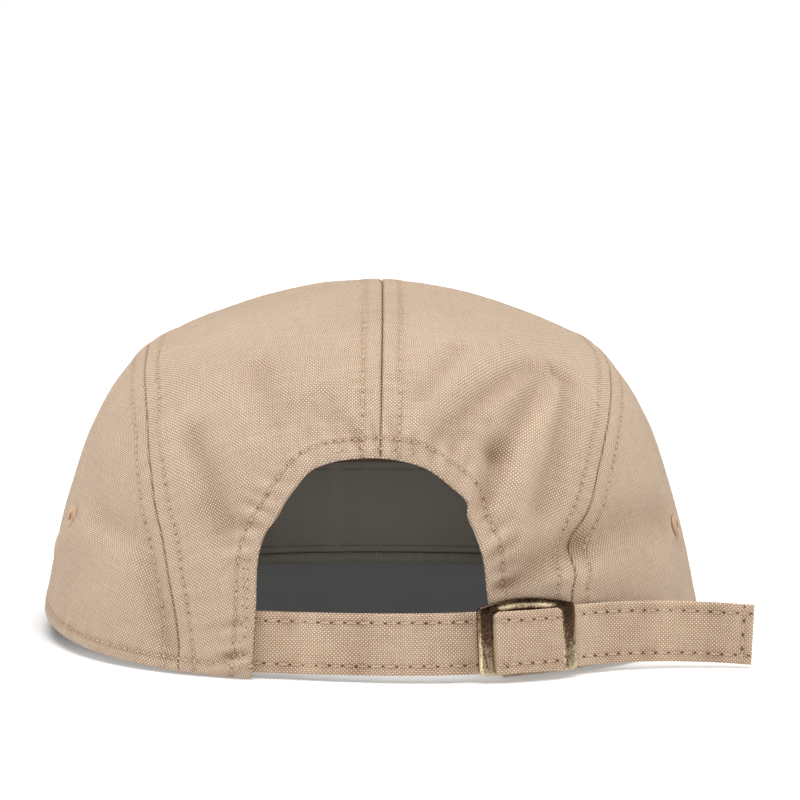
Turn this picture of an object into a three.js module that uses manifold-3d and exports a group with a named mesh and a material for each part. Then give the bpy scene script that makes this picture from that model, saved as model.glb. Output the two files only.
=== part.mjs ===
// Five panel cap in millimetres, +Z up.
// The peak points along -Y and the strap opening faces +Y. Left is +X, as the wearer has it.
// The crown is modelled round the middle of the head opening, and the whole cap is moved at the
// end so that its origin is the bottom centre of its box.
import * as THREE from "three";
import { mergeVertices } from "three/addons/utils/BufferGeometryUtils.js";
import Module from "manifold-3d";

const wasm = await Module();
wasm.setup();

// Crown, measured on the outside of the cloth
const CROWN_WIDTH = 181.4;
const CROWN_BACK_REACH = 95;
const CROWN_FRONT_REACH = 95;
const CROWN_HEIGHT = 95.5;
const PLAN_ROUNDNESS = 2.25;
const RIM_BLEND = 0.5;
const CLOTH_WALL = 1.8;

// Clearances
const SEAM_GAP = 0.3;
const SEAT_GAP = 0.35;
const BAND_GAP = 0.85;
const STRAP_GAP = 0.35;
const SEWN_GAP = 0.5;

// Peak, a flat board that slopes down to its tip
const PEAK_LENGTH = 70;
const PEAK_THICKNESS = 3.2;
const PEAK_SLOPE = Math.tan(THREE.MathUtils.degToRad(2));
const PEAK_HALF_WIDTH = 87.2;
const PEAK_END_Y = -40;
const RIM_TURN = 15;
const PEAK_ROUNDNESS = 2.35;
const PEAK_EDGE = 0.8;
const PEAK_EDGE_SHARE = 0.28;
const PEAK_END_SHARE = 0.98;
const PEAK_SEAM_ALLOWANCE = 3.9;

// Opening over the strap
const OPENING_HALF_WIDTH = 30;
const OPENING_HEIGHT = 55.9;

// Centre seam and front panel
const CENTRE_SEAM_OFFSET = 2.4;
const SEAM_LEAN_LEVEL = 0.88;
const FRONT_TOP_BOW = 0.012;
const FRONT_SEAM_ANGLE = THREE.MathUtils.degToRad(48);

// Folds in the worn cloth
const FOLD_DEPTH = 1.7;
const FOLD_SPREAD = 5.5;
const FOLDS_END_RHO = 0.93;
const WALL_TURN_RHO = 0.85;

// Eyelets
const EYELET_RADIUS = 2.7;
const EYELET_HOLE_RADIUS = 1.1;
const EYELET_BARREL = 0.7;
const EYELET_FLANGE = 0.6;
const EYELET_GAP = 0.4;
const EYELET_ROUND_SHARE = 0.55;
const EYELET_DRILL_WALLS = 4;
const EYELET_SIDES = 14;

// Sweatband
const BAND_HEIGHT = 30;
const BAND_THICKNESS = 1.2;
const BAND_LIFT = 1.2;
const BAND_END_ANGLE = THREE.MathUtils.degToRad(58);

// Strap
const STRAP_WIDTH = 15.7;
const STRAP_THICKNESS = 1.6;
const STRAP_BOTTOM = 1.7;
const STRAP_SEWN_ANGLE = THREE.MathUtils.degToRad(61.5);
const STRAP_LEAVES_ANGLE = THREE.MathUtils.degToRad(73);
const STRAP_ARRIVES_ANGLE = THREE.MathUtils.degToRad(103);
const STRAP_FLAT_RUN = 2;
const STRAP_OVER_SHARE = 0.42;
const STRAP_UNDER_SHARE = 0.94;
const STRAP_PINCH_SHARE = 0.8;
const STRAP_PINCH_SPREAD = 0.24;
const TAIL_RUN = 60.5;
const TAIL_SET_BACK = 12.5;
const TAIL_DROOP = 0.9;
const TAIL_BEND_SHARE = 0.42;

// Buckle, a slide with a centre bar
const BUCKLE_ANGLE = THREE.MathUtils.degToRad(113.4);
const BUCKLE_WIDTH = 27;
const BUCKLE_SIDE_HEIGHT = 16.8;
const BUCKLE_SIDE_BAR = 4.1;
const BUCKLE_CENTRE_BAR = 3;
const BUCKLE_THICKNESS = 1.9;
const BUCKLE_TOP_BAR = 2;
const BUCKLE_TOP_ARCH = 2.2;
const BUCKLE_BOTTOM_BAR = 1.5;
const BUCKLE_BOTTOM_ARCH = 0.6;
const BUCKLE_CORNER = 1.6;
const BUCKLE_SLOT_CORNER = 0.8;
const BUCKLE_BEVEL = 0.45;
const BUCKLE_FOLLOW = 0.6;

// Loop that holds the centre bar
const LOOP_THICKNESS = 0.8;
const LOOP_WIDTH = 11;
const LOOP_RUN = 11;
const LOOP_ROUND = 0.9;

// Mesh spacing
const SEAM_ROWS_ARCH = 18;
const SEAM_ROWS_ABOVE = 20;
const HALF_COLUMNS = 9;
const BAND_COLUMNS = 56;
const PEAK_STATIONS = 44;
const STRAP_OPEN_STEPS = 20;
const STRAP_BUCKLE_STEPS = 22;
const TAIL_STEPS = 12;
const BUCKLE_ARCH_STEPS = 10;

// First guess in the search for a place on the unit disc
const SEARCH_HALF_WIDTH = 105;
const SEARCH_RISE = 0.98;

// Each row is one level of the crown from the apex to the rim. rho places it on the unit disc, the
// reaches are shares of the crown's own reaches, and the rises are shares of the crown's height.
const CROWN_LEVELS = [
  { rho: 0.0, half: 0.0, sideRise: 1.0, back: 0.0, backRise: 1.0, front: 0.0, frontRise: 1.0 },
  { rho: 0.15, half: 0.28, sideRise: 0.962, back: 0.33, backRise: 0.966, front: 0.31, frontRise: 0.97 },
  { rho: 0.25, half: 0.455, sideRise: 0.905, back: 0.535, backRise: 0.915, front: 0.51, frontRise: 0.922 },
  { rho: 0.33, half: 0.595, sideRise: 0.846, back: 0.67, backRise: 0.855, front: 0.65, frontRise: 0.868 },
  { rho: 0.4, half: 0.697, sideRise: 0.785, back: 0.765, backRise: 0.785, front: 0.745, frontRise: 0.795 },
  { rho: 0.46, half: 0.765, sideRise: 0.71, back: 0.83, backRise: 0.705, front: 0.795, frontRise: 0.7 },
  { rho: 0.56, half: 0.842, sideRise: 0.58, back: 0.895, backRise: 0.565, front: 0.84, frontRise: 0.565 },
  { rho: 0.7, half: 0.912, sideRise: 0.385, back: 0.945, backRise: 0.385, front: 0.895, frontRise: 0.375 },
  { rho: 0.85, half: 0.962, sideRise: 0.195, back: 0.98, backRise: 0.19, front: 0.95, frontRise: 0.185 },
  { rho: 1.0, half: 1.0, sideRise: 0.0, back: 1.0, backRise: 0.0, front: 1.0, frontRise: 0.0 },
];

// Each row is one station of a side seam on the unit disc, from the rim at the back, up the back and
// forward along the shoulder to the front panel's corner. left and right are the shares across.
const SIDE_SEAM = [
  { back: 0.862, left: 0.507, right: 0.515 },
  { back: 0.75, left: 0.468, right: 0.478 },
  { back: 0.68, left: 0.452, right: 0.448 },
  { back: 0.6, left: 0.432, right: 0.43 },
  { back: 0.52, left: 0.417, right: 0.428 },
  { back: 0.43, left: 0.393, right: 0.415 },
  { back: 0.3, left: 0.367, right: 0.406 },
  { back: 0.15, left: 0.373, right: 0.408 },
  { back: 0.0, left: 0.386, right: 0.405 },
  { back: -0.16, left: 0.362, right: 0.37 },
  { back: -0.305, left: 0.288, right: 0.288 },
];
const SIDE_SEAM_TURN_ROW = 5.4;
const FRONT_SEAM_BACK_SHARE = -0.345;

// Each row is one station of the opening's edge, from the rim to the top middle. up is a share of
// the opening's height, left and right are shares of its half width.
const OPENING_EDGE = [
  { up: 0.0, left: 1.02, right: 1.13 },
  { up: 0.17, left: 1.0, right: 1.05 },
  { up: 0.34, left: 0.98, right: 1.0 },
  { up: 0.52, left: 0.97, right: 0.965 },
  { up: 0.65, left: 0.91, right: 0.89 },
  { up: 0.73, left: 0.8, right: 0.825 },
  { up: 0.8, left: 0.73, right: 0.82 },
  { up: 0.865, left: 0.64, right: 0.69 },
  { up: 0.915, left: 0.57, right: 0.575 },
  { up: 0.955, left: 0.475, right: 0.46 },
  { up: 0.985, left: 0.3, right: 0.27 },
  { up: 1.0, left: 0.08, right: 0.08 },
];

// Each row is one fold, from its start to its end on the unit disc. depth is a share of the fold
// depth, inwards when negative, and spread is a share of the fold spread.
const FOLDS = [
  { startX: -0.08, startY: 0.43, endX: -0.12, endY: 0.31, depth: -0.5, spread: 0.8 },
  { startX: -0.11, startY: 0.49, endX: -0.23, endY: 0.31, depth: -0.75, spread: 0.8 },
  { startX: -0.22, startY: 0.62, endX: -0.21, endY: 0.5, depth: -0.8, spread: 0.8 },
  { startX: -0.21, startY: 0.5, endX: -0.28, endY: 0.29, depth: -0.9, spread: 0.9 },
  { startX: -0.32, startY: 0.57, endX: -0.31, endY: 0.3, depth: -0.7, spread: 0.9 },
  { startX: -0.3, startY: 0.74, endX: -0.44, endY: 0.59, depth: -0.9, spread: 1.0 },
  { startX: -0.44, startY: 0.59, endX: -0.66, endY: 0.33, depth: -0.7, spread: 1.3 },
  { startX: -0.07, startY: 0.5, endX: -0.19, endY: 0.25, depth: 0.6, spread: 0.9 },
  { startX: -0.25, startY: 0.61, endX: -0.28, endY: 0.31, depth: 0.7, spread: 0.9 },
  { startX: 0.16, startY: 0.35, endX: 0.14, endY: 0.46, depth: -0.5, spread: 1.0 },
  { startX: 0.3, startY: 0.44, endX: 0.29, endY: 0.63, depth: -0.8, spread: 1.1 },
  { startX: 0.34, startY: 0.39, endX: 0.32, endY: 0.54, depth: 0.5, spread: 0.9 },
  { startX: 0.09, startY: 0.44, endX: 0.03, endY: 0.51, depth: -0.4, spread: 0.7 },
  { startX: 0.58, startY: 0.43, endX: 0.48, endY: 0.57, depth: -0.6, spread: 1.1 },
  { startX: 0.49, startY: 0.62, endX: 0.52, endY: 0.83, depth: -0.7, spread: 1.0 },
  { startX: 0.8, startY: 0.22, endX: 0.5, endY: 0.59, depth: 0.45, spread: 1.2 },
];

// Places of the eyelets on the unit disc
const EYELETS = [
  { name: "eyelet_left", across: 0.68, back: 0.303 },
  { name: "eyelet_right", across: -0.729, back: 0.262 },
];

const UP = new THREE.Vector3(0, 0, 1);

function smooth(low, high, value) {
  return THREE.MathUtils.smoothstep(value, low, high);
}

// Reads one column of the crown's table at rho with a smooth curve. A reach runs through zero at
// the apex and a rise is level there, so the row beyond the apex is mirrored to suit.
function levelValue(rho, column, isReach) {
  const mirrored = { at: -CROWN_LEVELS[1].rho, value: (isReach ? -1 : 1) * CROWN_LEVELS[1][column] };
  const knots = [mirrored, ...CROWN_LEVELS.map((row) => ({ at: row.rho, value: row[column] }))];
  const span = knots.slice(1).map((knot, i) => knot.at - knots[i].at);
  const chord = span.map((width, i) => (knots[i + 1].value - knots[i].value) / width);
  const last = knots.length - 1;
  const slope = (i) => {
    if (i === 0) return chord[0];
    if (i === last) return chord[last - 1];
    return (span[i] * chord[i - 1] + span[i - 1] * chord[i]) / (span[i] + span[i - 1]);
  };
  let k = 1;
  while (k < last - 1 && rho >= knots[k + 1].at) k += 1;
  const t = (rho - knots[k].at) / span[k];
  const rise = 3 * t * t - 2 * t * t * t;
  const leave = (t - 2 * t * t + t * t * t) * span[k] * slope(k);
  const arrive = (t * t * t - t * t) * span[k] * slope(k + 1);
  return knots[k].value * (1 - rise) + knots[k + 1].value * rise + leave + arrive;
}

function contourRadius(cos, sin, half, reach) {
  const across = Math.abs(cos / half) ** PLAN_ROUNDNESS;
  const along = Math.abs(sin / reach) ** PLAN_ROUNDNESS;
  return (across + along) ** (-1 / PLAN_ROUNDNESS);
}

// Upper face of the peak at y. Its tip's underside is at z = 0.
function peakTop(y) {
  return (y + CROWN_FRONT_REACH + PEAK_LENGTH) * PEAK_SLOPE + PEAK_THICKNESS;
}

// Height of the rim: it stands on the peak in front and comes down to the surface at the back.
function rimHeight(y) {
  const turn = PEAK_END_Y + RIM_TURN;
  const onPeak = peakTop(y) + SEAT_GAP;
  const temple = peakTop(turn) + SEAT_GAP;
  const behind = (temple * (CROWN_BACK_REACH - y)) / (CROWN_BACK_REACH - turn);
  return -RIM_BLEND * Math.log(Math.exp(-onPeak / RIM_BLEND) + Math.exp(-behind / RIM_BLEND));
}

// Outside of the crown at polar place phi, rho on the unit disc, without folds.
function crownAt(phi, rho) {
  const cos = Math.cos(phi);
  const sin = Math.sin(phi);
  const atBack = sin > 0;
  const fullReach = atBack ? CROWN_BACK_REACH : CROWN_FRONT_REACH;
  const half = Math.max((levelValue(rho, "half", true) * CROWN_WIDTH) / 2, 1e-6);
  const reach = Math.max(levelValue(rho, atBack ? "back" : "front", true) * fullReach, 1e-6);
  const radius = contourRadius(cos, sin, half, reach);
  const endShare = ((radius * sin) / reach) ** 2;
  const sideRise = levelValue(rho, "sideRise", false);
  const endRise = levelValue(rho, atBack ? "backRise" : "frontRise", false);
  const rise = sideRise + (endRise - sideRise) * endShare;
  const rim = rimHeight(contourRadius(cos, sin, CROWN_WIDTH / 2, fullReach) * sin);
  return new THREE.Vector3(radius * cos, radius * sin, rim + (CROWN_HEIGHT - rim) * rise);
}

function crownPoint(p, q) {
  return crownAt(Math.atan2(q, p), Math.hypot(p, q));
}

function crownNormal(p, q) {
  const step = 0.002;
  const across = crownPoint(p + step, q).sub(crownPoint(p - step, q));
  const along = crownPoint(p, q + step).sub(crownPoint(p, q - step));
  return across.cross(along).normalize();
}

const foldLines = FOLDS.map((fold) => ({
  start: crownPoint(fold.startX, fold.startY),
  middle: crownPoint((fold.startX + fold.endX) / 2, (fold.startY + fold.endY) / 2),
  end: crownPoint(fold.endX, fold.endY),
  depth: fold.depth * FOLD_DEPTH,
  spread: fold.spread * FOLD_SPREAD,
}));

function foldHeight(point) {
  const nearest = new THREE.Vector3();
  let height = 0;
  for (const fold of foldLines) {
    new THREE.Line3(fold.start, fold.middle).closestPointToPoint(point, true, nearest);
    const first = nearest.distanceTo(point);
    new THREE.Line3(fold.middle, fold.end).closestPointToPoint(point, true, nearest);
    const away = Math.min(first, nearest.distanceTo(point)) / fold.spread;
    height += fold.depth * Math.exp(-away * away);
  }
  return height;
}

// A point of the cloth: its outside with the folds, and the way through the wall. At the rim the
// way through is level, so that the rim's edge stands flat.
function cloth(p, q) {
  const rho = Math.hypot(p, q);
  const normal = crownNormal(p, q);
  const outside = crownPoint(p, q);
  outside.addScaledVector(normal, foldHeight(outside) * (1 - smooth(FOLDS_END_RHO, 1, rho)));
  const through = normal.clone();
  through.z *= 1 - smooth(WALL_TURN_RHO, 1, rho);
  through.normalize();
  return { outside, through, normal };
}

// Finds the place on the unit disc of the back's point at x and z.
function discFromBack(x, z) {
  let p = x / SEARCH_HALF_WIDTH;
  let q = Math.sqrt(Math.max(SEARCH_RISE - z / CROWN_HEIGHT, 0.1));
  for (let i = 0; i < 40; i += 1) {
    const here = crownPoint(p, q);
    const step = 1e-4;
    const byP = crownPoint(p + step, q).sub(here).divideScalar(step);
    const byQ = crownPoint(p, q + step).sub(here).divideScalar(step);
    const determinant = byP.x * byQ.z - byQ.x * byP.z;
    const dx = x - here.x;
    const dz = z - here.z;
    p += THREE.MathUtils.clamp((dx * byQ.z - byQ.x * dz) / determinant, -0.05, 0.05);
    q += THREE.MathUtils.clamp((byP.x * dz - dx * byP.z) / determinant, -0.05, 0.05);
  }
  const rho = Math.hypot(p, q);
  return rho > 1 ? new THREE.Vector2(p / rho, q / rho) : new THREE.Vector2(p, q);
}

// Points at even spacing along a smooth curve on the disc, both ends kept.
function spaced(points, count) {
  const curve = new THREE.SplineCurve(points);
  const fine = curve.getPoints(400);
  const placed = fine.map((place) => crownPoint(place.x, place.y));
  const run = [0];
  for (let i = 1; i < placed.length; i += 1) run.push(run[i - 1] + placed[i].distanceTo(placed[i - 1]));
  const stations = [];
  let k = 0;
  for (let i = 0; i <= count; i += 1) {
    const target = (run[run.length - 1] * i) / count;
    while (k < run.length - 2 && run[k + 1] < target) k += 1;
    const share = (target - run[k]) / (run[k + 1] - run[k]);
    stations.push(fine[k].clone().lerp(fine[k + 1], share));
  }
  return stations;
}

function onRim(angle) {
  return new THREE.Vector2(Math.cos(angle), Math.sin(angle));
}

function rimArc(fromPlace, toPlace, count, turn) {
  const from = Math.atan2(fromPlace.y, fromPlace.x);
  let to = Math.atan2(toPlace.y, toPlace.x);
  if (turn > 0 && to < from) to += 2 * Math.PI;
  if (turn < 0 && to > from) to -= 2 * Math.PI;
  return Array.from({ length: count + 1 }, (_, i) => onRim(from + ((to - from) * i) / count));
}

// The shared seams. side is 1 for the left and -1 for the right.
const seamLean = -CENTRE_SEAM_OFFSET / (CROWN_WIDTH * SEAM_LEAN_LEVEL);

function sideSeam(side) {
  const column = side > 0 ? "left" : "right";
  const rows = SIDE_SEAM.map((row) => new THREE.Vector2(side * row[column], row.back));
  rows[0].normalize();
  const rowCount = rows.length - 1;
  const curve = new THREE.SplineCurve(rows);
  const turn = SIDE_SEAM_TURN_ROW / rowCount;
  const part = (from, to) => {
    const places = Array.from({ length: 25 }, (_, i) => curve.getPoint(from + ((to - from) * i) / 24));
    return places;
  };
  const lower = spaced(part(0, turn), SEAM_ROWS_ARCH);
  const upper = spaced(part(turn, 1), SEAM_ROWS_ABOVE);
  return { lower, upper, all: [...lower, ...upper.slice(1)] };
}

function openingEdge(side) {
  const column = side > 0 ? "left" : "right";
  const places = OPENING_EDGE.map((row) => {
    return discFromBack(side * row[column] * OPENING_HALF_WIDTH, row.up * OPENING_HEIGHT);
  });
  places[0].normalize();
  places.push(openingTop);
  return spaced(places, SEAM_ROWS_ARCH);
}

const openingTop = discFromBack(-CENTRE_SEAM_OFFSET, OPENING_HEIGHT);
const frontTop = new THREE.Vector2(seamLean, FRONT_SEAM_BACK_SHARE);
const centreSeam = spaced(
  [openingTop, new THREE.Vector2(seamLean, 0.3), new THREE.Vector2(seamLean, 0), frontTop],
  SEAM_ROWS_ABOVE,
);
const sideSeams = new Map([1, -1].map((side) => [side, sideSeam(side)]));
const frontSideSeams = new Map([1, -1].map((side) => {
  const foot = onRim(side > 0 ? -FRONT_SEAM_ANGLE : Math.PI + FRONT_SEAM_ANGLE);
  const corner = sideSeams.get(side).all.at(-1);
  return [side, spaced([foot, foot.clone().lerp(corner, 0.5), corner], SEAM_ROWS_ARCH)];
}));
const frontTopSeams = new Map([1, -1].map((side) => {
  const corner = sideSeams.get(side).all.at(-1);
  const between = frontTop.clone().lerp(corner, 0.5);
  between.y -= FRONT_TOP_BOW;
  return [side, spaced([frontTop, between, corner], HALF_COLUMNS)];
}));

// Fills the space between four edges of the disc. bottom and top run across, left and right run up.
function patch(bottom, top, left, right) {
  const columns = bottom.length - 1;
  const rows = left.length - 1;
  const grid = [];
  for (let j = 0; j <= rows; j += 1) {
    const v = j / rows;
    const line = [];
    for (let i = 0; i <= columns; i += 1) {
      const u = i / columns;
      const place = new THREE.Vector2();
      place.addScaledVector(left[j], 1 - u).addScaledVector(right[j], u);
      place.addScaledVector(bottom[i], 1 - v).addScaledVector(top[i], v);
      place.addScaledVector(bottom[0], -(1 - u) * (1 - v)).addScaledVector(bottom[columns], -u * (1 - v));
      place.addScaledVector(top[0], -(1 - u) * v).addScaledVector(top[columns], -u * v);
      line.push(place);
    }
    grid.push(line);
  }
  return grid;
}

// Makes a mesh geometry from points and triangles, with its faces pointing out.
function closedGeometry(points, triangles) {
  let volume = 0;
  for (const [a, b, c] of triangles) {
    volume += points[a].dot(new THREE.Vector3().crossVectors(points[b], points[c]));
  }
  const index = triangles.flatMap(([a, b, c]) => (volume > 0 ? [a, b, c] : [a, c, b]));
  const geometry = new THREE.BufferGeometry();
  const coordinates = points.flatMap((point) => point.toArray());
  geometry.setAttribute("position", new THREE.Float32BufferAttribute(coordinates, 3));
  geometry.setIndex(index);
  geometry.computeVertexNormals();
  return geometry;
}

// Joins two grids of points, an outside and an inside, into a closed wall.
function wallGeometry(outside, inside) {
  const rows = outside.length;
  const columns = outside[0].length;
  const points = [...outside.flat(), ...inside.flat()];
  const at = (layer, j, i) => layer * rows * columns + j * columns + i;
  const triangles = [];
  const quad = (a, b, c, d) => {
    const shortFirst = points[a].distanceTo(points[c]) <= points[b].distanceTo(points[d]);
    if (shortFirst) triangles.push([a, b, c], [a, c, d]);
    else triangles.push([a, b, d], [b, c, d]);
  };
  for (let j = 0; j < rows - 1; j += 1) {
    for (let i = 0; i < columns - 1; i += 1) {
      quad(at(0, j, i), at(0, j, i + 1), at(0, j + 1, i + 1), at(0, j + 1, i));
      quad(at(1, j, i), at(1, j + 1, i), at(1, j + 1, i + 1), at(1, j, i + 1));
    }
  }
  for (let i = 0; i < columns - 1; i += 1) {
    quad(at(0, 0, i + 1), at(0, 0, i), at(1, 0, i), at(1, 0, i + 1));
    quad(at(0, rows - 1, i), at(0, rows - 1, i + 1), at(1, rows - 1, i + 1), at(1, rows - 1, i));
  }
  for (let j = 0; j < rows - 1; j += 1) {
    quad(at(0, j, 0), at(0, j + 1, 0), at(1, j + 1, 0), at(1, j, 0));
    quad(at(0, j + 1, columns - 1), at(0, j, columns - 1), at(1, j, columns - 1), at(1, j + 1, columns - 1));
  }
  return closedGeometry(points, triangles);
}

// Moves the sewn edges of a panel in by half the seam gap. sewn says whether a boundary point at
// row j and column i is sewn on its left, right, bottom or top.
function panelGeometry(places, sewn) {
  const rows = places.length;
  const columns = places[0].length;
  const skin = places.map((line) => line.map((place) => cloth(place.x, place.y)));
  const shiftOf = (j, i) => {
    const { normal } = skin[j][i];
    const ways = [];
    const edge = (from, to, inside) => {
      const along = to.outside.clone().sub(from.outside);
      const way = new THREE.Vector3().crossVectors(along, normal).normalize();
      const inwards = inside.outside.clone().sub(skin[j][i].outside);
      return way.multiplyScalar(Math.sign(way.dot(inwards)));
    };
    const low = Math.max(j - 1, 0);
    const high = Math.min(j + 1, rows - 1);
    const before = Math.max(i - 1, 0);
    const after = Math.min(i + 1, columns - 1);
    if (i === 0 && sewn.left(j)) ways.push(edge(skin[low][0], skin[high][0], skin[j][1]));
    if (i === columns - 1 && sewn.right(j)) {
      ways.push(edge(skin[low][i], skin[high][i], skin[j][i - 1]));
    }
    if (j === 0 && sewn.bottom) ways.push(edge(skin[0][before], skin[0][after], skin[1][i]));
    if (j === rows - 1 && sewn.top) ways.push(edge(skin[j][before], skin[j][after], skin[j - 1][i]));
    const shift = new THREE.Vector3();
    ways.forEach((way) => shift.add(way));
    if (ways.length === 2) shift.divideScalar(1 + Math.max(ways[0].dot(ways[1]), -0.5));
    return shift.multiplyScalar(SEAM_GAP / 2);
  };
  const outside = skin.map((line, j) => line.map((point, i) => point.outside.clone().add(shiftOf(j, i))));
  const inside = outside.map((line, j) => line.map((point, i) => {
    return point.clone().addScaledVector(skin[j][i].through, -CLOTH_WALL);
  }));
  return wallGeometry(outside, inside);
}

function backPanel(side) {
  const left = [...openingEdge(side), ...centreSeam.slice(1)];
  const right = sideSeams.get(side).all;
  const bottom = rimArc(left[0], right[0], HALF_COLUMNS, -side);
  const top = frontTopSeams.get(side);
  const sewn = { left: (j) => j >= SEAM_ROWS_ARCH, right: () => true, bottom: false, top: true };
  return panelGeometry(patch(bottom, top, left, right), sewn);
}

function sidePanel(side) {
  const { lower, upper } = sideSeams.get(side);
  const left = frontSideSeams.get(side);
  const top = [...upper].reverse();
  const bottom = rimArc(left[0], lower[0], SEAM_ROWS_ABOVE, side);
  const sewn = { left: () => true, right: () => true, bottom: false, top: true };
  return panelGeometry(patch(bottom, top, left, lower), sewn);
}

function frontPanel() {
  const left = frontSideSeams.get(1);
  const right = frontSideSeams.get(-1);
  const bottom = rimArc(left[0], right[0], 2 * HALF_COLUMNS, -1);
  const top = [...[...frontTopSeams.get(1)].reverse(), ...frontTopSeams.get(-1).slice(1)];
  const sewn = { left: () => true, right: () => true, bottom: false, top: true };
  return panelGeometry(patch(bottom, top, left, right), sewn);
}

// Boolean cut of one closed geometry by another
function asSolid(geometry) {
  const bare = geometry.clone();
  bare.deleteAttribute("normal");
  if (bare.hasAttribute("uv")) bare.deleteAttribute("uv");
  const merged = mergeVertices(bare, 1e-4);
  const vertProperties = new Float32Array(merged.getAttribute("position").array);
  const triVerts = new Uint32Array(merged.getIndex().array);
  return new wasm.Manifold(new wasm.Mesh({ numProp: 3, vertProperties, triVerts }));
}

function cutGeometry(body, tool) {
  const mesh = asSolid(body).subtract(asSolid(tool)).getMesh();
  const geometry = new THREE.BufferGeometry();
  geometry.setAttribute("position", new THREE.Float32BufferAttribute(mesh.vertProperties, 3));
  geometry.setIndex([...mesh.triVerts]);
  geometry.computeVertexNormals();
  return geometry;
}

// Frame of an eyelet: its middle in the wall, and its axis out of the cloth
function eyeletFrame(eyelet) {
  const { outside, through } = cloth(eyelet.across, eyelet.back);
  const middle = outside.clone().addScaledVector(through, -CLOTH_WALL / 2);
  const turn = new THREE.Quaternion().setFromUnitVectors(new THREE.Vector3(0, 1, 0), through);
  return new THREE.Matrix4().compose(middle, turn, new THREE.Vector3(1, 1, 1));
}

// The stitched ring lies on the cloth's outside and lines the hole through the wall.
function eyeletGeometry(eyelet) {
  const barrel = EYELET_HOLE_RADIUS + EYELET_BARREL;
  const seat = CLOTH_WALL / 2 + EYELET_GAP;
  const face = seat + EYELET_FLANGE;
  const round = EYELET_FLANGE * EYELET_ROUND_SHARE;
  const profile = [
    [EYELET_HOLE_RADIUS, -CLOTH_WALL / 2],
    [barrel, -CLOTH_WALL / 2],
    [barrel, seat],
    [EYELET_RADIUS, seat],
    [EYELET_RADIUS, face - round],
    [EYELET_RADIUS - round, face],
    [EYELET_HOLE_RADIUS + round, face],
    [EYELET_HOLE_RADIUS, face - round],
    [EYELET_HOLE_RADIUS, -CLOTH_WALL / 2],
  ].map(([radius, height]) => new THREE.Vector2(radius, height));
  return tidy(new THREE.LatheGeometry(profile, EYELET_SIDES)).applyMatrix4(eyeletFrame(eyelet));
}

function eyeletHole(eyelet) {
  const radius = EYELET_HOLE_RADIUS + EYELET_BARREL + EYELET_GAP;
  const drill = new THREE.CylinderGeometry(radius, radius, CLOTH_WALL * EYELET_DRILL_WALLS, EYELET_SIDES);
  return drill.applyMatrix4(eyeletFrame(eyelet));
}

// Merges a geometry's doubled vertices and turns its faces out.
function tidy(geometry) {
  const bare = geometry.clone();
  bare.deleteAttribute("normal");
  bare.deleteAttribute("uv");
  const merged = mergeVertices(bare, 1e-4);
  const position = merged.getAttribute("position");
  const points = Array.from({ length: position.count }, (_, i) => {
    return new THREE.Vector3().fromBufferAttribute(position, i);
  });
  const index = merged.getIndex().array;
  const triangles = [];
  for (let i = 0; i < index.length; i += 3) {
    const [a, b, c] = [index[i], index[i + 1], index[i + 2]];
    if (a !== b && b !== c && a !== c) triangles.push([a, b, c]);
  }
  return closedGeometry(points, triangles);
}

// Peak: a flat crescent whose inner edge lies under the crown's wall
function peakGeometry() {
  const depth = PEAK_END_Y + CROWN_FRONT_REACH + PEAK_LENGTH;
  const outerPoint = (t, inset) => {
    const angle = Math.PI * t;
    const half = PEAK_HALF_WIDTH - inset;
    const reach = depth - inset;
    const radius = (Math.abs(Math.cos(angle) / half) ** PEAK_ROUNDNESS
      + Math.abs(Math.sin(angle) / reach) ** PEAK_ROUNDNESS) ** (-1 / PEAK_ROUNDNESS);
    return new THREE.Vector2(radius * Math.cos(angle), PEAK_END_Y - radius * Math.sin(angle));
  };
  const endAngle = Math.asin(-PEAK_END_Y / CROWN_FRONT_REACH) * PEAK_END_SHARE;
  const innerPoint = (t) => {
    const angle = -endAngle - (Math.PI - 2 * endAngle) * t;
    const rim = crownAt(angle, 1);
    const radius = Math.hypot(rim.x, rim.y) - PEAK_SEAM_ALLOWANCE;
    return new THREE.Vector2(radius * Math.cos(angle), radius * Math.sin(angle));
  };
  const top = (place) => new THREE.Vector3(place.x, place.y, peakTop(place.y));
  const under = (place) => top(place).setZ(peakTop(place.y) - PEAK_THICKNESS);
  const edge = (place, share) => top(place).setZ(peakTop(place.y) - PEAK_THICKNESS * share);
  const sections = Array.from({ length: PEAK_STATIONS + 1 }, (_, k) => {
    const t = k / PEAK_STATIONS;
    const inner = innerPoint(t);
    const outer = outerPoint(t, 0);
    const inset = outerPoint(t, PEAK_EDGE);
    const low = edge(outer, 1 - PEAK_EDGE_SHARE);
    const high = edge(outer, PEAK_EDGE_SHARE);
    return [under(inner), under(inset), low, high, top(inset), top(inner)];
  });
  return loftGeometry(sections);
}

// Joins a row of closed sections, with a flat cap at each end.
function loftGeometry(sections) {
  const points = sections.flat();
  const sides = sections[0].length;
  const triangles = [];
  for (let k = 0; k < sections.length - 1; k += 1) {
    for (let i = 0; i < sides; i += 1) {
      const j = (i + 1) % sides;
      const [a, b, c, d] = [k * sides + i, k * sides + j, (k + 1) * sides + j, (k + 1) * sides + i];
      triangles.push([a, b, c], [a, c, d]);
    }
  }
  const lastRow = (sections.length - 1) * sides;
  for (let i = 1; i < sides - 1; i += 1) {
    triangles.push([0, i + 1, i], [lastRow, lastRow + i, lastRow + i + 1]);
  }
  return closedGeometry(points, triangles);
}

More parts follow.
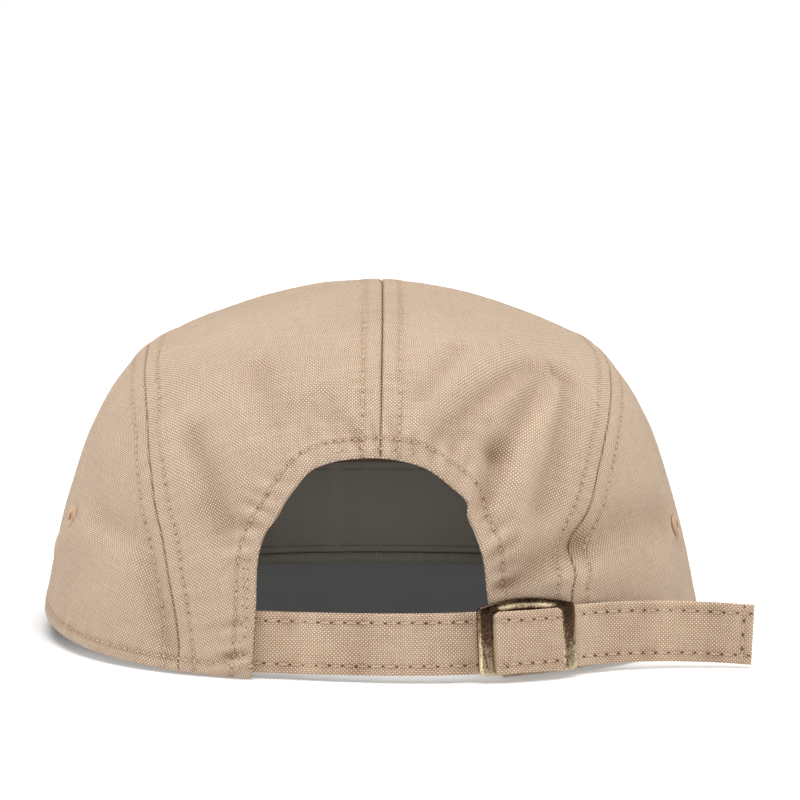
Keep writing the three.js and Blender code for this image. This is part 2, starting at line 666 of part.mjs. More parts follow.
// Sweatband: a dark band that follows the wall's inside from one side of the opening to the other
function sweatbandGeometry() {
  const from = BAND_END_ANGLE;
  const to = -Math.PI - BAND_END_ANGLE;
  const rhoAt = (phi, height) => {
    const rim = crownAt(phi, 1).z;
    return rhoAtHeight(phi, rim + height);
  };
  const layer = (depth) => [BAND_LIFT, BAND_HEIGHT / 2, BAND_HEIGHT].map((height) => {
    return Array.from({ length: BAND_COLUMNS + 1 }, (_, i) => {
      const phi = from + ((to - from) * i) / BAND_COLUMNS;
      const rho = rhoAt(phi, height);
      const { outside, through } = cloth(rho * Math.cos(phi), rho * Math.sin(phi));
      return outside.addScaledVector(through, -depth);
    });
  });
  const outer = CLOTH_WALL + BAND_GAP;
  return wallGeometry(layer(outer), layer(outer + BAND_THICKNESS));
}

function rhoAtHeight(phi, height) {
  let low = 0.2;
  let high = 1;
  for (let i = 0; i < 40; i += 1) {
    const rho = (low + high) / 2;
    if (crownAt(phi, rho).z > height) low = rho;
    else high = rho;
  }
  return (low + high) / 2;
}

// The strap's middle line lies at one height on the crown, so a frame at phi gives the crown's
// surface there, the way out of the cloth, the way along to the photo's right and the way up.
const strapHeight = STRAP_BOTTOM + STRAP_WIDTH / 2;

function strapFrame(phi) {
  const rho = rhoAtHeight(phi, strapHeight);
  const point = crownAt(phi, rho);
  const out = crownNormal(rho * Math.cos(phi), rho * Math.sin(phi));
  const along = new THREE.Vector3().crossVectors(UP, out).normalize();
  return { phi, point, out, along, up: new THREE.Vector3().crossVectors(out, along) };
}

// Walks along the crown at the strap's height and gives the angle after a distance.
function walk(phi, distance) {
  const stride = 0.25;
  let angle = phi;
  let left = Math.abs(distance);
  while (left > 1e-6) {
    const small = 0.002;
    const speed = strapFrame(angle + small).point.distanceTo(strapFrame(angle).point) / small;
    const move = Math.min(stride, left);
    angle += (Math.sign(distance) * move) / speed;
    left -= move;
  }
  return angle;
}

const buckleFrame = strapFrame(BUCKLE_ANGLE);
const barReach = BUCKLE_WIDTH / 2 - BUCKLE_SIDE_BAR / 2;

// Distance of the crown's face behind the buckle's flat plane at a distance along the buckle.
function fallAt(along) {
  const here = strapFrame(walk(BUCKLE_ANGLE, along)).point;
  return -here.clone().sub(buckleFrame.point).dot(buckleFrame.out);
}

const sideFall = (fallAt(barReach) + fallAt(-barReach)) / 2;
const loopInner = STRAP_GAP + LOOP_THICKNESS;
const underBars = loopInner + STRAP_GAP + STRAP_THICKNESS / 2;
const sideBarBack = underBars + STRAP_THICKNESS / 2 + STRAP_GAP - sideFall * BUCKLE_FOLLOW;
const centreBarBack = loopInner + STRAP_GAP;
const centreBarFront = centreBarBack + BUCKLE_THICKNESS;
const loopOuter = centreBarFront + STRAP_GAP + LOOP_THICKNESS;
const overBar = loopOuter + STRAP_GAP + STRAP_THICKNESS / 2;
const insideWall = -(CLOTH_WALL + SEWN_GAP + STRAP_THICKNESS / 2);
const windowHalf = BUCKLE_WIDTH / 2 - BUCKLE_SIDE_BAR;

// How far the strap's middle lies outside the crown's face at a distance from the buckle's middle
function strapRise(along) {
  const away = Math.abs(along);
  const over = windowHalf * STRAP_OVER_SHARE;
  const under = windowHalf * STRAP_UNDER_SHARE;
  return underBars + (overBar - underBars) * (1 - smooth(over, under, away));
}

// The strap narrows where it passes through the slots.
function strapPinch(along) {
  const away = (Math.abs(along) / windowHalf - STRAP_PINCH_SHARE) / STRAP_PINCH_SPREAD;
  const slot = BUCKLE_SIDE_HEIGHT - BUCKLE_TOP_BAR - BUCKLE_BOTTOM_BAR - 2 * STRAP_GAP;
  return 1 - (1 - slot / STRAP_WIDTH) * Math.exp(-(away ** 4));
}

function strapStations() {
  const stations = [];
  const place = (frame, rise, width) => {
    const point = frame.point.clone().addScaledVector(frame.out, rise);
    stations.push({ point, out: frame.out, up: frame.up, width });
  };
  const edgeAngle = walk(BUCKLE_ANGLE, -BUCKLE_WIDTH / 2 - STRAP_FLAT_RUN);
  for (let i = 0; i < STRAP_OPEN_STEPS; i += 1) {
    const phi = STRAP_SEWN_ANGLE + ((edgeAngle - STRAP_SEWN_ANGLE) * i) / STRAP_OPEN_STEPS;
    const across = smooth(STRAP_LEAVES_ANGLE, STRAP_ARRIVES_ANGLE, phi);
    place(strapFrame(phi), insideWall + (underBars - insideWall) * across, STRAP_WIDTH);
  }
  const reach = BUCKLE_WIDTH / 2 + STRAP_FLAT_RUN;
  for (let i = 0; i <= STRAP_BUCKLE_STEPS; i += 1) {
    const along = -reach + (2 * reach * i) / STRAP_BUCKLE_STEPS;
    place(strapFrame(walk(BUCKLE_ANGLE, along)), strapRise(along), STRAP_WIDTH * strapPinch(along));
  }
  const leaving = stations.at(-1);
  const leaveFrame = strapFrame(walk(BUCKLE_ANGLE, reach));
  const end = buckleFrame.point.clone().add(new THREE.Vector3(-TAIL_RUN, -TAIL_SET_BACK, -TAIL_DROOP));
  const reachX = leaving.point.x - end.x;
  const bendRun = (reachX * TAIL_BEND_SHARE) / -leaveFrame.along.x;
  const bend = leaving.point.clone().addScaledVector(leaveFrame.along, bendRun);
  const curve = new THREE.QuadraticBezierCurve3(leaving.point, bend, end);
  for (let i = 1; i <= TAIL_STEPS; i += 1) {
    const share = i / TAIL_STEPS;
    const along = curve.getTangent(share);
    const lean = leaveFrame.up.clone().lerp(UP, smooth(0, 1, share)).normalize();
    const out = new THREE.Vector3().crossVectors(along, lean).normalize();
    const up = new THREE.Vector3().crossVectors(out, along).normalize();
    stations.push({ point: curve.getPoint(share), out, up, width: STRAP_WIDTH });
  }
  return stations;
}

function strapGeometry() {
  const corner = (station, across, rise) => station.point.clone()
    .addScaledVector(station.up, (across * station.width) / 2)
    .addScaledVector(station.out, (rise * STRAP_THICKNESS) / 2);
  return loftGeometry(strapStations().map((station) => [
    corner(station, -1, -1), corner(station, 1, -1), corner(station, 1, 1), corner(station, -1, 1),
  ]));
}

// Places a point of the buckle's front view: along, up from the strap's middle, and out.
function onBuckle(along, up, out) {
  return buckleFrame.point.clone()
    .addScaledVector(buckleFrame.along, along)
    .addScaledVector(buckleFrame.up, up)
    .addScaledVector(buckleFrame.out, out);
}

// Buckle: a rounded frame with an arched top bar and a centre bar, bent towards the crown in the
// middle so that the strap passes in front of its top, bottom and centre bars.
function buckleGeometry() {
  const half = BUCKLE_WIDTH / 2;
  const low = -BUCKLE_SIDE_HEIGHT / 2;
  const high = BUCKLE_SIDE_HEIGHT / 2;
  const bow = (along) => 1 - (along / half) ** 2;
  const topAt = (along) => high + BUCKLE_TOP_ARCH * bow(along);
  const bottomAt = (along) => low - BUCKLE_BOTTOM_ARCH * bow(along);
  const inner = half - BUCKLE_CORNER;
  const outline = new THREE.Shape();
  outline.moveTo(-inner, bottomAt(inner));
  for (let i = 1; i <= BUCKLE_ARCH_STEPS; i += 1) {
    const along = -inner + (2 * inner * i) / BUCKLE_ARCH_STEPS;
    outline.lineTo(along, bottomAt(along));
  }
  outline.quadraticCurveTo(half, low, half, low + BUCKLE_CORNER);
  outline.lineTo(half, high - BUCKLE_CORNER);
  outline.quadraticCurveTo(half, high, inner, topAt(inner));
  for (let i = BUCKLE_ARCH_STEPS - 1; i >= 0; i -= 1) {
    const along = -inner + (2 * inner * i) / BUCKLE_ARCH_STEPS;
    outline.lineTo(along, topAt(along));
  }
  outline.quadraticCurveTo(-half, high, -half, high - BUCKLE_CORNER);
  outline.lineTo(-half, low + BUCKLE_CORNER);
  outline.quadraticCurveTo(-half, low, -inner, bottomAt(inner));
  for (const side of [-1, 1]) {
    const slot = new THREE.Path();
    const near = (side * BUCKLE_CENTRE_BAR) / 2;
    const far = side * windowHalf;
    const floor = (along) => bottomAt(along) + BUCKLE_BOTTOM_BAR;
    const roof = (along) => topAt(along) - BUCKLE_TOP_BAR;
    const halfway = (near + far) / 2;
    const corner = far - side * BUCKLE_SLOT_CORNER;
    slot.moveTo(near, floor(near));
    slot.lineTo(halfway, floor(halfway));
    slot.lineTo(corner, floor(corner));
    slot.lineTo(far, floor(far) + BUCKLE_SLOT_CORNER);
    slot.lineTo(far, roof(far) - BUCKLE_SLOT_CORNER);
    slot.lineTo(corner, roof(corner));
    slot.lineTo(halfway, roof(halfway));
    slot.lineTo(near, roof(near));
    outline.holes.push(slot);
  }
  const flat = new THREE.ExtrudeGeometry(outline, {
    depth: BUCKLE_THICKNESS - 2 * BUCKLE_BEVEL,
    bevelEnabled: true,
    bevelThickness: BUCKLE_BEVEL,
    bevelSize: BUCKLE_BEVEL,
    bevelOffset: -BUCKLE_BEVEL,
    bevelSegments: 2,
    curveSegments: 4,
  });
  const geometry = tidy(flat);
  const position = geometry.getAttribute("position");
  for (let i = 0; i < position.count; i += 1) {
    const along = position.getX(i);
    const up = position.getY(i);
    const middle = 1 - smooth(BUCKLE_CENTRE_BAR / 2, windowHalf, Math.abs(along));
    const back = sideBarBack + (centreBarBack - sideBarBack) * middle;
    const placed = onBuckle(along, up, back + position.getZ(i) + BUCKLE_BEVEL);
    position.setXYZ(i, placed.x, placed.y, placed.z);
  }
  return tidy(geometry);
}

// Loop: wraps the centre bar and runs back over the panel under the strap.
function loopGeometry() {
  const half = BUCKLE_CENTRE_BAR / 2 + STRAP_GAP;
  const outer = half + LOOP_THICKNESS;
  const holeLow = loopInner;
  const holeHigh = centreBarFront + STRAP_GAP;
  const shape = new THREE.Shape();
  const endFall = fallAt(LOOP_RUN);
  const midFall = fallAt(LOOP_RUN / 2);
  shape.moveTo(-outer + LOOP_ROUND, STRAP_GAP);
  shape.lineTo(outer, STRAP_GAP);
  shape.lineTo(LOOP_RUN / 2, STRAP_GAP - midFall);
  shape.lineTo(LOOP_RUN, STRAP_GAP - endFall);
  shape.lineTo(LOOP_RUN, STRAP_GAP - endFall + LOOP_THICKNESS);
  shape.lineTo(LOOP_RUN / 2, STRAP_GAP - midFall + LOOP_THICKNESS);
  shape.lineTo(outer, holeLow);
  shape.lineTo(outer, loopOuter - LOOP_ROUND);
  shape.lineTo(outer - LOOP_ROUND, loopOuter);
  shape.lineTo(-outer + LOOP_ROUND, loopOuter);
  shape.lineTo(-outer, loopOuter - LOOP_ROUND);
  shape.lineTo(-outer, STRAP_GAP + LOOP_ROUND);
  const hole = new THREE.Path();
  hole.moveTo(-half, holeLow);
  hole.lineTo(-half, holeHigh);
  hole.lineTo(half, holeHigh);
  hole.lineTo(half, holeLow);
  shape.holes.push(hole);
  const geometry = tidy(new THREE.ExtrudeGeometry(shape, { depth: LOOP_WIDTH, bevelEnabled: false }));
  const position = geometry.getAttribute("position");
  for (let i = 0; i < position.count; i += 1) {
    const placed = onBuckle(position.getX(i), position.getZ(i) - LOOP_WIDTH / 2, position.getY(i));
    position.setXYZ(i, placed.x, placed.y, placed.z);
  }
  return tidy(geometry);
}

// Finishes
const canvas = new THREE.MeshStandardMaterial({ color: "#c9ab8f", roughness: 0.92, metalness: 0 });
const shade = new THREE.MeshStandardMaterial({ color: "#4a4642", roughness: 0.95, metalness: 0 });
const brass = new THREE.MeshStandardMaterial({ color: "#7a624e", roughness: 0.42, metalness: 1 });
const thread = new THREE.MeshStandardMaterial({ color: "#b79a80", roughness: 0.85, metalness: 0 });

function piece(name, geometry, material) {
  const mesh = new THREE.Mesh(geometry, material.clone());
  mesh.name = name;
  return mesh;
}

const cap = new THREE.Group();
cap.add(piece("front_panel", frontPanel(), canvas));
cap.add(piece("side_panel_left", cutGeometry(sidePanel(1), eyeletHole(EYELETS[0])), canvas));
cap.add(piece("side_panel_right", cutGeometry(sidePanel(-1), eyeletHole(EYELETS[1])), canvas));
cap.add(piece("back_panel_left", backPanel(1), canvas));
cap.add(piece("back_panel_right", backPanel(-1), canvas));
cap.add(piece("peak", peakGeometry(), canvas));
cap.add(piece("sweatband", sweatbandGeometry(), shade));
cap.add(piece("strap", strapGeometry(), canvas));
cap.add(piece("buckle", buckleGeometry(), brass));
cap.add(piece("buckle_loop", loopGeometry(), canvas));
for (const eyelet of EYELETS) cap.add(piece(eyelet.name, eyeletGeometry(eyelet), thread));

// The origin goes to the bottom centre of the cap's box.
const box = new THREE.Box3().setFromObject(cap);
const middle = box.getCenter(new THREE.Vector3());
cap.position.set(-middle.x, -middle.y, -box.min.z);

const model = new THREE.Group();
model.add(cap);
model.updateMatrixWorld(true);

export default model;
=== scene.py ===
"""Five panel cap in washed cotton canvas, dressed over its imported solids.

The crown, its seams and its opening follow the same named sizes and short tables as the solids, in
millimetres round the middle of the head opening. place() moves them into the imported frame.
"""
import logging
import math
from collections.abc import Callable, Sequence
from dataclasses import dataclass, field
from enum import Enum

import bmesh
import bpy
import numpy as np
from mathutils import Matrix, Vector


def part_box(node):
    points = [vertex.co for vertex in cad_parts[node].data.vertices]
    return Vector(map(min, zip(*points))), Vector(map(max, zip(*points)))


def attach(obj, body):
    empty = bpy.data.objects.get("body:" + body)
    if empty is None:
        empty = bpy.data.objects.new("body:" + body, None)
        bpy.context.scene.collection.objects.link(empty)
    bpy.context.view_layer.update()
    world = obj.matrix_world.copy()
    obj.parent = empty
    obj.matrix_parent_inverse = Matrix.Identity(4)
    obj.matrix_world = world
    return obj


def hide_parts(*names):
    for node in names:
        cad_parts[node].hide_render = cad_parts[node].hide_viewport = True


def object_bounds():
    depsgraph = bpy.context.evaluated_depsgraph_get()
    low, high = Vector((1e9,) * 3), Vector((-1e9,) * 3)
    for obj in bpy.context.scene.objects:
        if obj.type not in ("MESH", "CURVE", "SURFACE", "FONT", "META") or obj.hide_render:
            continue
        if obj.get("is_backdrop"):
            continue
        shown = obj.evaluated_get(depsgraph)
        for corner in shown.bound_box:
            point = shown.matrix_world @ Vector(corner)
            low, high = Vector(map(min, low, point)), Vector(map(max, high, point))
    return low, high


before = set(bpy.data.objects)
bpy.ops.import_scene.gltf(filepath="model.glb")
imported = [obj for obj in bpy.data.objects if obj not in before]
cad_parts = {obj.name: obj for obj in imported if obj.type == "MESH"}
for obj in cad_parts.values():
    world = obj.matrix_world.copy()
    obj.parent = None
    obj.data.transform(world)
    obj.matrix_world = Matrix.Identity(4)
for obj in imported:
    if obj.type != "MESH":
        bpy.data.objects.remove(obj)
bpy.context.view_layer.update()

Array = np.ndarray
Edge = Callable[[Array], Array]
Faces = list[tuple[int, ...]]
Material = bpy.types.Material
Piece = bpy.types.Object
Tree = bpy.types.NodeTree
Socket = bpy.types.NodeSocket
MM = 0.001
TINY = 1e-6
BODY = "root"
MATH = "ShaderNodeMath"
UP = np.array([0.0, 0.0, 1.0])
log = logging.getLogger("cap")


class Side(Enum):
    """A side of the cap as its wearer has it."""

    LEFT = 1
    RIGHT = -1


class Slot(Enum):
    """The cap's material slots."""

    CANVAS = "canvas"
    BAND = "band_cotton"
    BRASS = "antique_brass"
    THREAD = "eyelet_thread"


# Small helpers for curves and shares


def smooth(low: float, high: float, value: Array) -> Array:
    """Eases from 0 at low to 1 at high.

    Args:
        low: where the ease starts.
        high: where it ends.
        value: the values to ease.

    Returns:
        The eased shares.
    """
    share = np.clip((value - low) / (high - low), 0.0, 1.0)
    return share * share * (3.0 - 2.0 * share)


def unit(vectors: Array) -> Array:
    """Scales vectors to length one."""
    return vectors / np.maximum(np.linalg.norm(vectors, axis=-1, keepdims=True), TINY)


def run_along(points: Array) -> Array:
    """Gives the distance along a row of points from its first."""
    return np.concatenate([[0.0], np.cumsum(np.linalg.norm(np.diff(points, axis=0), axis=1))])


def spline(knots: Array, shares: Array) -> Array:
    """Reads a smooth curve through knots.

    Args:
        knots: the points that the curve passes, in order.
        shares: places along it from 0 to 1.

    Returns:
        One point for each share.
    """
    last = len(knots) - 1
    at = shares * last
    k = np.clip(np.floor(at).astype(int), 0, last - 1)
    t = (at - k)[:, None]
    before, here = knots[np.maximum(k - 1, 0)], knots[k]
    ahead, beyond = knots[k + 1], knots[np.minimum(k + 2, last)]
    leave, arrive = (ahead - before) / 2, (beyond - here) / 2
    rise = 3 * t**2 - 2 * t**3
    return here * (1 - rise) + ahead * rise + leave * (t - 2 * t**2 + t**3) + arrive * (t**3 - t**2)


def stations(length: float, pitch: float, near: Sequence[float]) -> Array:
    """Spaces shares along a length, closer together near both ends.

    Args:
        length: the length in millimetres.
        pitch: the usual spacing.
        near: distances from an end that are always kept.

    Returns:
        Rising shares from 0 to 1.
    """
    ends = np.array(near)
    steps = max(int((length - 2 * ends[-1]) / pitch), 2)
    middle = np.linspace(ends[-1], length - ends[-1], steps + 1)[1:-1]
    return np.concatenate([ends, middle, length - ends[::-1]]) / length


def ridge(away: Array, width: float) -> Array:
    """Gives a soft ridge of height one at zero that falls off over a width."""
    return np.exp(-((away / width) ** 2))


def pull(run: Array, pitch: float, share: float = 0.25) -> Array:
    """Gives the pull of stitches of a pitch along their row: 1 at a hole, less by twice the share between."""
    return 1 - share + share * np.cos(2 * np.pi * run / pitch)


@dataclass(frozen=True)
class Ripple:
    """An uneven wave made of a few sines with seeded phases."""

    length: float
    seed: int
    parts: int = 4

    def along(self, run: Array) -> Array:
        """Reads the wave at distances along a line, from about -1 to 1."""
        rng = np.random.default_rng(self.seed)
        total = np.zeros_like(run)
        for _ in range(self.parts):
            length = self.length * rng.uniform(0.7, 2.1)
            total += np.sin(2 * np.pi * (run / length + rng.uniform()))
        return total / self.parts

    def over(self, points: Array) -> Array:
        """Reads the wave at points in space, from about -1 to 1."""
        rng = np.random.default_rng(self.seed)
        total = np.zeros(points.shape[:-1])
        for _ in range(2 * self.parts):
            way = unit(rng.normal(size=3))
            length = self.length * rng.uniform(0.7, 2.1)
            total += np.sin(2 * np.pi * ((points @ way) / length + rng.uniform()))
        return total / (2 * self.parts)


# The crown's form, in millimetres round the middle of the head opening


@dataclass(frozen=True)
class Level:
    """One level of the crown: its place on the unit disc and its shares of the crown's sizes."""

    rho: float
    half: float
    side_rise: float
    back: float
    back_rise: float
    front: float
    front_rise: float


LEVELS = (
    Level(0.0, 0.0, 1.0, 0.0, 1.0, 0.0, 1.0),
    Level(0.15, 0.28, 0.962, 0.33, 0.966, 0.31, 0.97),
    Level(0.25, 0.455, 0.905, 0.535, 0.915, 0.51, 0.922),
    Level(0.33, 0.595, 0.846, 0.67, 0.855, 0.65, 0.868),
    Level(0.4, 0.697, 0.785, 0.765, 0.785, 0.745, 0.795),
    Level(0.46, 0.765, 0.71, 0.83, 0.705, 0.795, 0.7),
    Level(0.56, 0.842, 0.58, 0.895, 0.565, 0.84, 0.565),
    Level(0.7, 0.912, 0.385, 0.945, 0.385, 0.895, 0.375),
    Level(0.85, 0.962, 0.195, 0.98, 0.19, 0.95, 0.185),
    Level(1.0, 1.0, 0.0, 1.0, 0.0, 1.0, 0.0),
)


@dataclass(frozen=True)
class Fold:
    """A fold between two places on the disc. depth and spread are shares, inwards when negative."""

    start: tuple[float, float]
    end: tuple[float, float]
    depth: float
    spread: float


MAIN_FOLDS = (
    Fold((-0.08, 0.43), (-0.12, 0.31), -0.5, 0.8),
    Fold((-0.11, 0.49), (-0.23, 0.31), -0.75, 0.8),
    Fold((-0.22, 0.62), (-0.21, 0.5), -0.8, 0.8),
    Fold((-0.21, 0.5), (-0.28, 0.29), -0.9, 0.9),
    Fold((-0.32, 0.57), (-0.31, 0.3), -0.7, 0.9),
    Fold((-0.3, 0.74), (-0.44, 0.59), -0.9, 1.0),
    Fold((-0.44, 0.59), (-0.66, 0.33), -0.7, 1.3),
    Fold((-0.07, 0.5), (-0.19, 0.25), 0.6, 0.9),
    Fold((-0.25, 0.61), (-0.28, 0.31), 0.7, 0.9),
    Fold((0.16, 0.35), (0.14, 0.46), -0.5, 1.0),
    Fold((0.3, 0.44), (0.29, 0.63), -0.8, 1.1),
    Fold((0.34, 0.39), (0.32, 0.54), 0.5, 0.9),
    Fold((0.09, 0.44), (0.03, 0.51), -0.4, 0.7),
    Fold((0.58, 0.43), (0.48, 0.57), -0.6, 1.1),
    Fold((0.49, 0.62), (0.52, 0.83), -0.7, 1.0),
    Fold((0.8, 0.22), (0.5, 0.59), 0.45, 1.2),
)


SMALL_FOLDS = (
    Fold((-0.13, 0.52), (-0.17, 0.46), -0.45, 0.45),
    Fold((-0.3, 0.66), (-0.27, 0.55), 0.5, 0.6),
    Fold((-0.16, 0.47), (-0.26, 0.28), 0.45, 0.55),
    Fold((-0.36, 0.52), (-0.35, 0.3), 0.35, 0.7),
    Fold((0.07, 0.42), (0.05, 0.47), -0.4, 0.4),
    Fold((0.12, 0.44), (0.1, 0.5), -0.35, 0.4),
    Fold((0.22, 0.5), (0.24, 0.58), 0.4, 0.6),
    Fold((0.38, 0.68), (0.4, 0.8), 0.35, 0.7),
    Fold((-0.4, 0.7), (-0.52, 0.62), 0.45, 0.7),
)


@dataclass(frozen=True)
class PeakForm:
    """Sizes of the flat peak."""

    length: float = 70.0
    thickness: float = 3.2
    slope: float = math.tan(math.radians(2.0))
    half_width: float = 87.2
    end_y: float = -40.0
    roundness: float = 2.35
    edge: float = 0.8
    seam_allowance: float = 3.9


PEAK = PeakForm()


@dataclass(frozen=True)
class CrownForm:
    """The crown's sizes and the smooth form between its levels."""

    width: float = 181.4
    back_reach: float = 95.0
    front_reach: float = 95.0
    height: float = 95.5
    roundness: float = 2.25
    wall: float = 1.8
    seam_gap: float = 0.1
    seat_gap: float = 0.35
    rim_turn: float = 15.0
    rim_blend: float = 0.5
    fold_depth: float = 2.8
    fold_spread: float = 4.4
    folds_end: float = 0.93
    wall_turn: float = 0.85
    guess_half: float = 105.0
    guess_rise: float = 0.98

    def share(self, rho: Array, column: str, is_reach: bool) -> Array:
        """Reads one column of the levels with a smooth curve.

        Args:
            rho: places from the apex, 0, to the rim, 1.
            column: the name of the column.
            is_reach: whether it runs through zero at the apex, and isn't level there.

        Returns:
            The column's values.
        """
        at = np.array([level.rho for level in LEVELS])
        value = np.array([getattr(level, column) for level in LEVELS])
        at = np.concatenate([[-at[1]], at])
        value = np.concatenate([[(-1.0 if is_reach else 1.0) * value[1]], value])
        span = np.diff(at)
        chord = np.diff(value) / span
        inner = (span[1:] * chord[:-1] + span[:-1] * chord[1:]) / (span[1:] + span[:-1])
        slope = np.concatenate([[chord[0]], inner, [chord[-1]]])
        k = np.clip(np.searchsorted(at, rho, side="right") - 1, 1, len(span) - 1)
        t = (rho - at[k]) / span[k]
        rise = 3 * t**2 - 2 * t**3
        leave = (t - 2 * t**2 + t**3) * span[k] * slope[k]
        arrive = (t**3 - t**2) * span[k] * slope[k + 1]
        return value[k] * (1 - rise) + value[k + 1] * rise + leave + arrive

    def contour(self, cos: Array, sin: Array, half: Array, reach: Array) -> Array:
        """Gives the distance from the middle to a rounded outline of that half width and reach."""
        across = np.abs(cos / half) ** self.roundness
        along = np.abs(sin / reach) ** self.roundness
        return (across + along) ** (-1 / self.roundness)

    def peak_top(self, y: Array) -> Array:
        """Gives the height of the peak's upper face at y."""
        return (y + self.front_reach + PEAK.length) * PEAK.slope + PEAK.thickness

    def rim_height(self, y: Array) -> Array:
        """Gives the height of the rim, which stands on the peak in front and is low at the back."""
        turn = PEAK.end_y + self.rim_turn
        on_peak = self.peak_top(y) + self.seat_gap
        temple = self.peak_top(turn) + self.seat_gap
        behind = temple * (self.back_reach - y) / (self.back_reach - turn)
        blend = self.rim_blend
        return -blend * np.log(np.exp(-on_peak / blend) + np.exp(-behind / blend))

    def at(self, phi: Array, rho: Array) -> Array:
        """Gives the crown's outside, without folds.

        Args:
            phi: angles round the crown, 0 at the left and 90 degrees at the back.
            rho: places from the apex, 0, to the rim, 1.

        Returns:
            Points, with x, y and z last.
        """
        cos, sin = np.cos(phi), np.sin(phi)
        back = sin > 0
        full = np.where(back, self.back_reach, self.front_reach)
        half = np.maximum(self.share(rho, "half", True) * self.width / 2, TINY)
        reach = np.where(back, self.share(rho, "back", True), self.share(rho, "front", True)) * full
        reach = np.maximum(reach, TINY)
        radius = self.contour(cos, sin, half, reach)
        side_rise = self.share(rho, "side_rise", False)
        back_rise, front_rise = self.share(rho, "back_rise", False), self.share(rho, "front_rise", False)
        end_rise = np.where(back, back_rise, front_rise)
        rise = side_rise + (end_rise - side_rise) * (radius * sin / reach) ** 2
        rim = self.rim_height(self.contour(cos, sin, self.width / 2, full) * sin)
        return np.stack([radius * cos, radius * sin, rim + (self.height - rim) * rise], -1)

    def point(self, places: Array) -> Array:
        """Gives the crown's outside at places on the unit disc."""
        return self.at(np.arctan2(places[..., 1], places[..., 0]), np.hypot(places[..., 0], places[..., 1]))

    def slopes(self, places: Array) -> tuple[Array, Array]:
        """Gives how the crown's outside moves with each of the disc's two ways."""
        step = 0.002
        ways = np.eye(2) * step
        across = self.point(places + ways[0]) - self.point(places - ways[0])
        along = self.point(places + ways[1]) - self.point(places - ways[1])
        return across / (2 * step), along / (2 * step)

    def normal(self, places: Array) -> Array:
        """Gives the way out of the crown at places on the disc."""
        across, along = self.slopes(places)
        return unit(np.cross(across, along))

    def from_back(self, x: Array, z: Array) -> Array:
        """Finds places on the disc of points at the crown's back.

        Args:
            x: how far across they are.
            z: how high they are.

        Returns:
            The places, moved onto the rim where they lie past it.
        """
        rise = np.sqrt(np.maximum(self.guess_rise - z / self.height, 0.1))
        places = np.stack([x / self.guess_half, rise], -1)
        step = 1e-4
        for _ in range(40):
            here = self.point(places)
            by_p = (self.point(places + np.array([step, 0.0])) - here) / step
            by_q = (self.point(places + np.array([0.0, step])) - here) / step
            spread = by_p[..., 0] * by_q[..., 2] - by_q[..., 0] * by_p[..., 2]
            dx, dz = x - here[..., 0], z - here[..., 2]
            move_p = (dx * by_q[..., 2] - by_q[..., 0] * dz) / spread
            move_q = (by_p[..., 0] * dz - dx * by_p[..., 2]) / spread
            places = places + np.clip(np.stack([move_p, move_q], -1), -0.05, 0.05)
        rho = np.hypot(places[..., 0], places[..., 1])[..., None]
        return places / np.maximum(rho, 1.0)

    def rho_at_height(self, phi: Array, height: Array) -> Array:
        """Finds the place from apex to rim at which the crown has that height."""
        low, high = np.full_like(phi, 0.2), np.ones_like(phi)
        for _ in range(40):
            rho = (low + high) / 2
            above = self.at(phi, rho)[..., 2] > height
            low, high = np.where(above, rho, low), np.where(above, high, rho)
        return (low + high) / 2


CROWN = CrownForm()


def on_rim(angle: Array) -> Array:
    """Gives the rim's place on the disc at an angle."""
    return np.stack([np.cos(angle), np.sin(angle)], -1)


def polar(phi: Array, rho: Array) -> Array:
    """Gives places on the disc at angles and shares of the way to the rim."""
    return on_rim(phi) * np.asarray(rho)[..., None]


def place(points: Array) -> Array:
    """Moves points from the head opening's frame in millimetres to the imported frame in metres.

    Args:
        points: points in millimetres.

    Returns:
        The same points in metres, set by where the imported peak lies.
    """
    low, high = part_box("peak")
    middle = (low.x + high.x) / 2
    tip = low.y + (CROWN.front_reach + PEAK.length) * MM
    floor = low.z - PEAK.edge * PEAK.slope * MM
    return points * MM + np.array([middle, tip, floor])


# Seams, edges and the patches of cloth between them


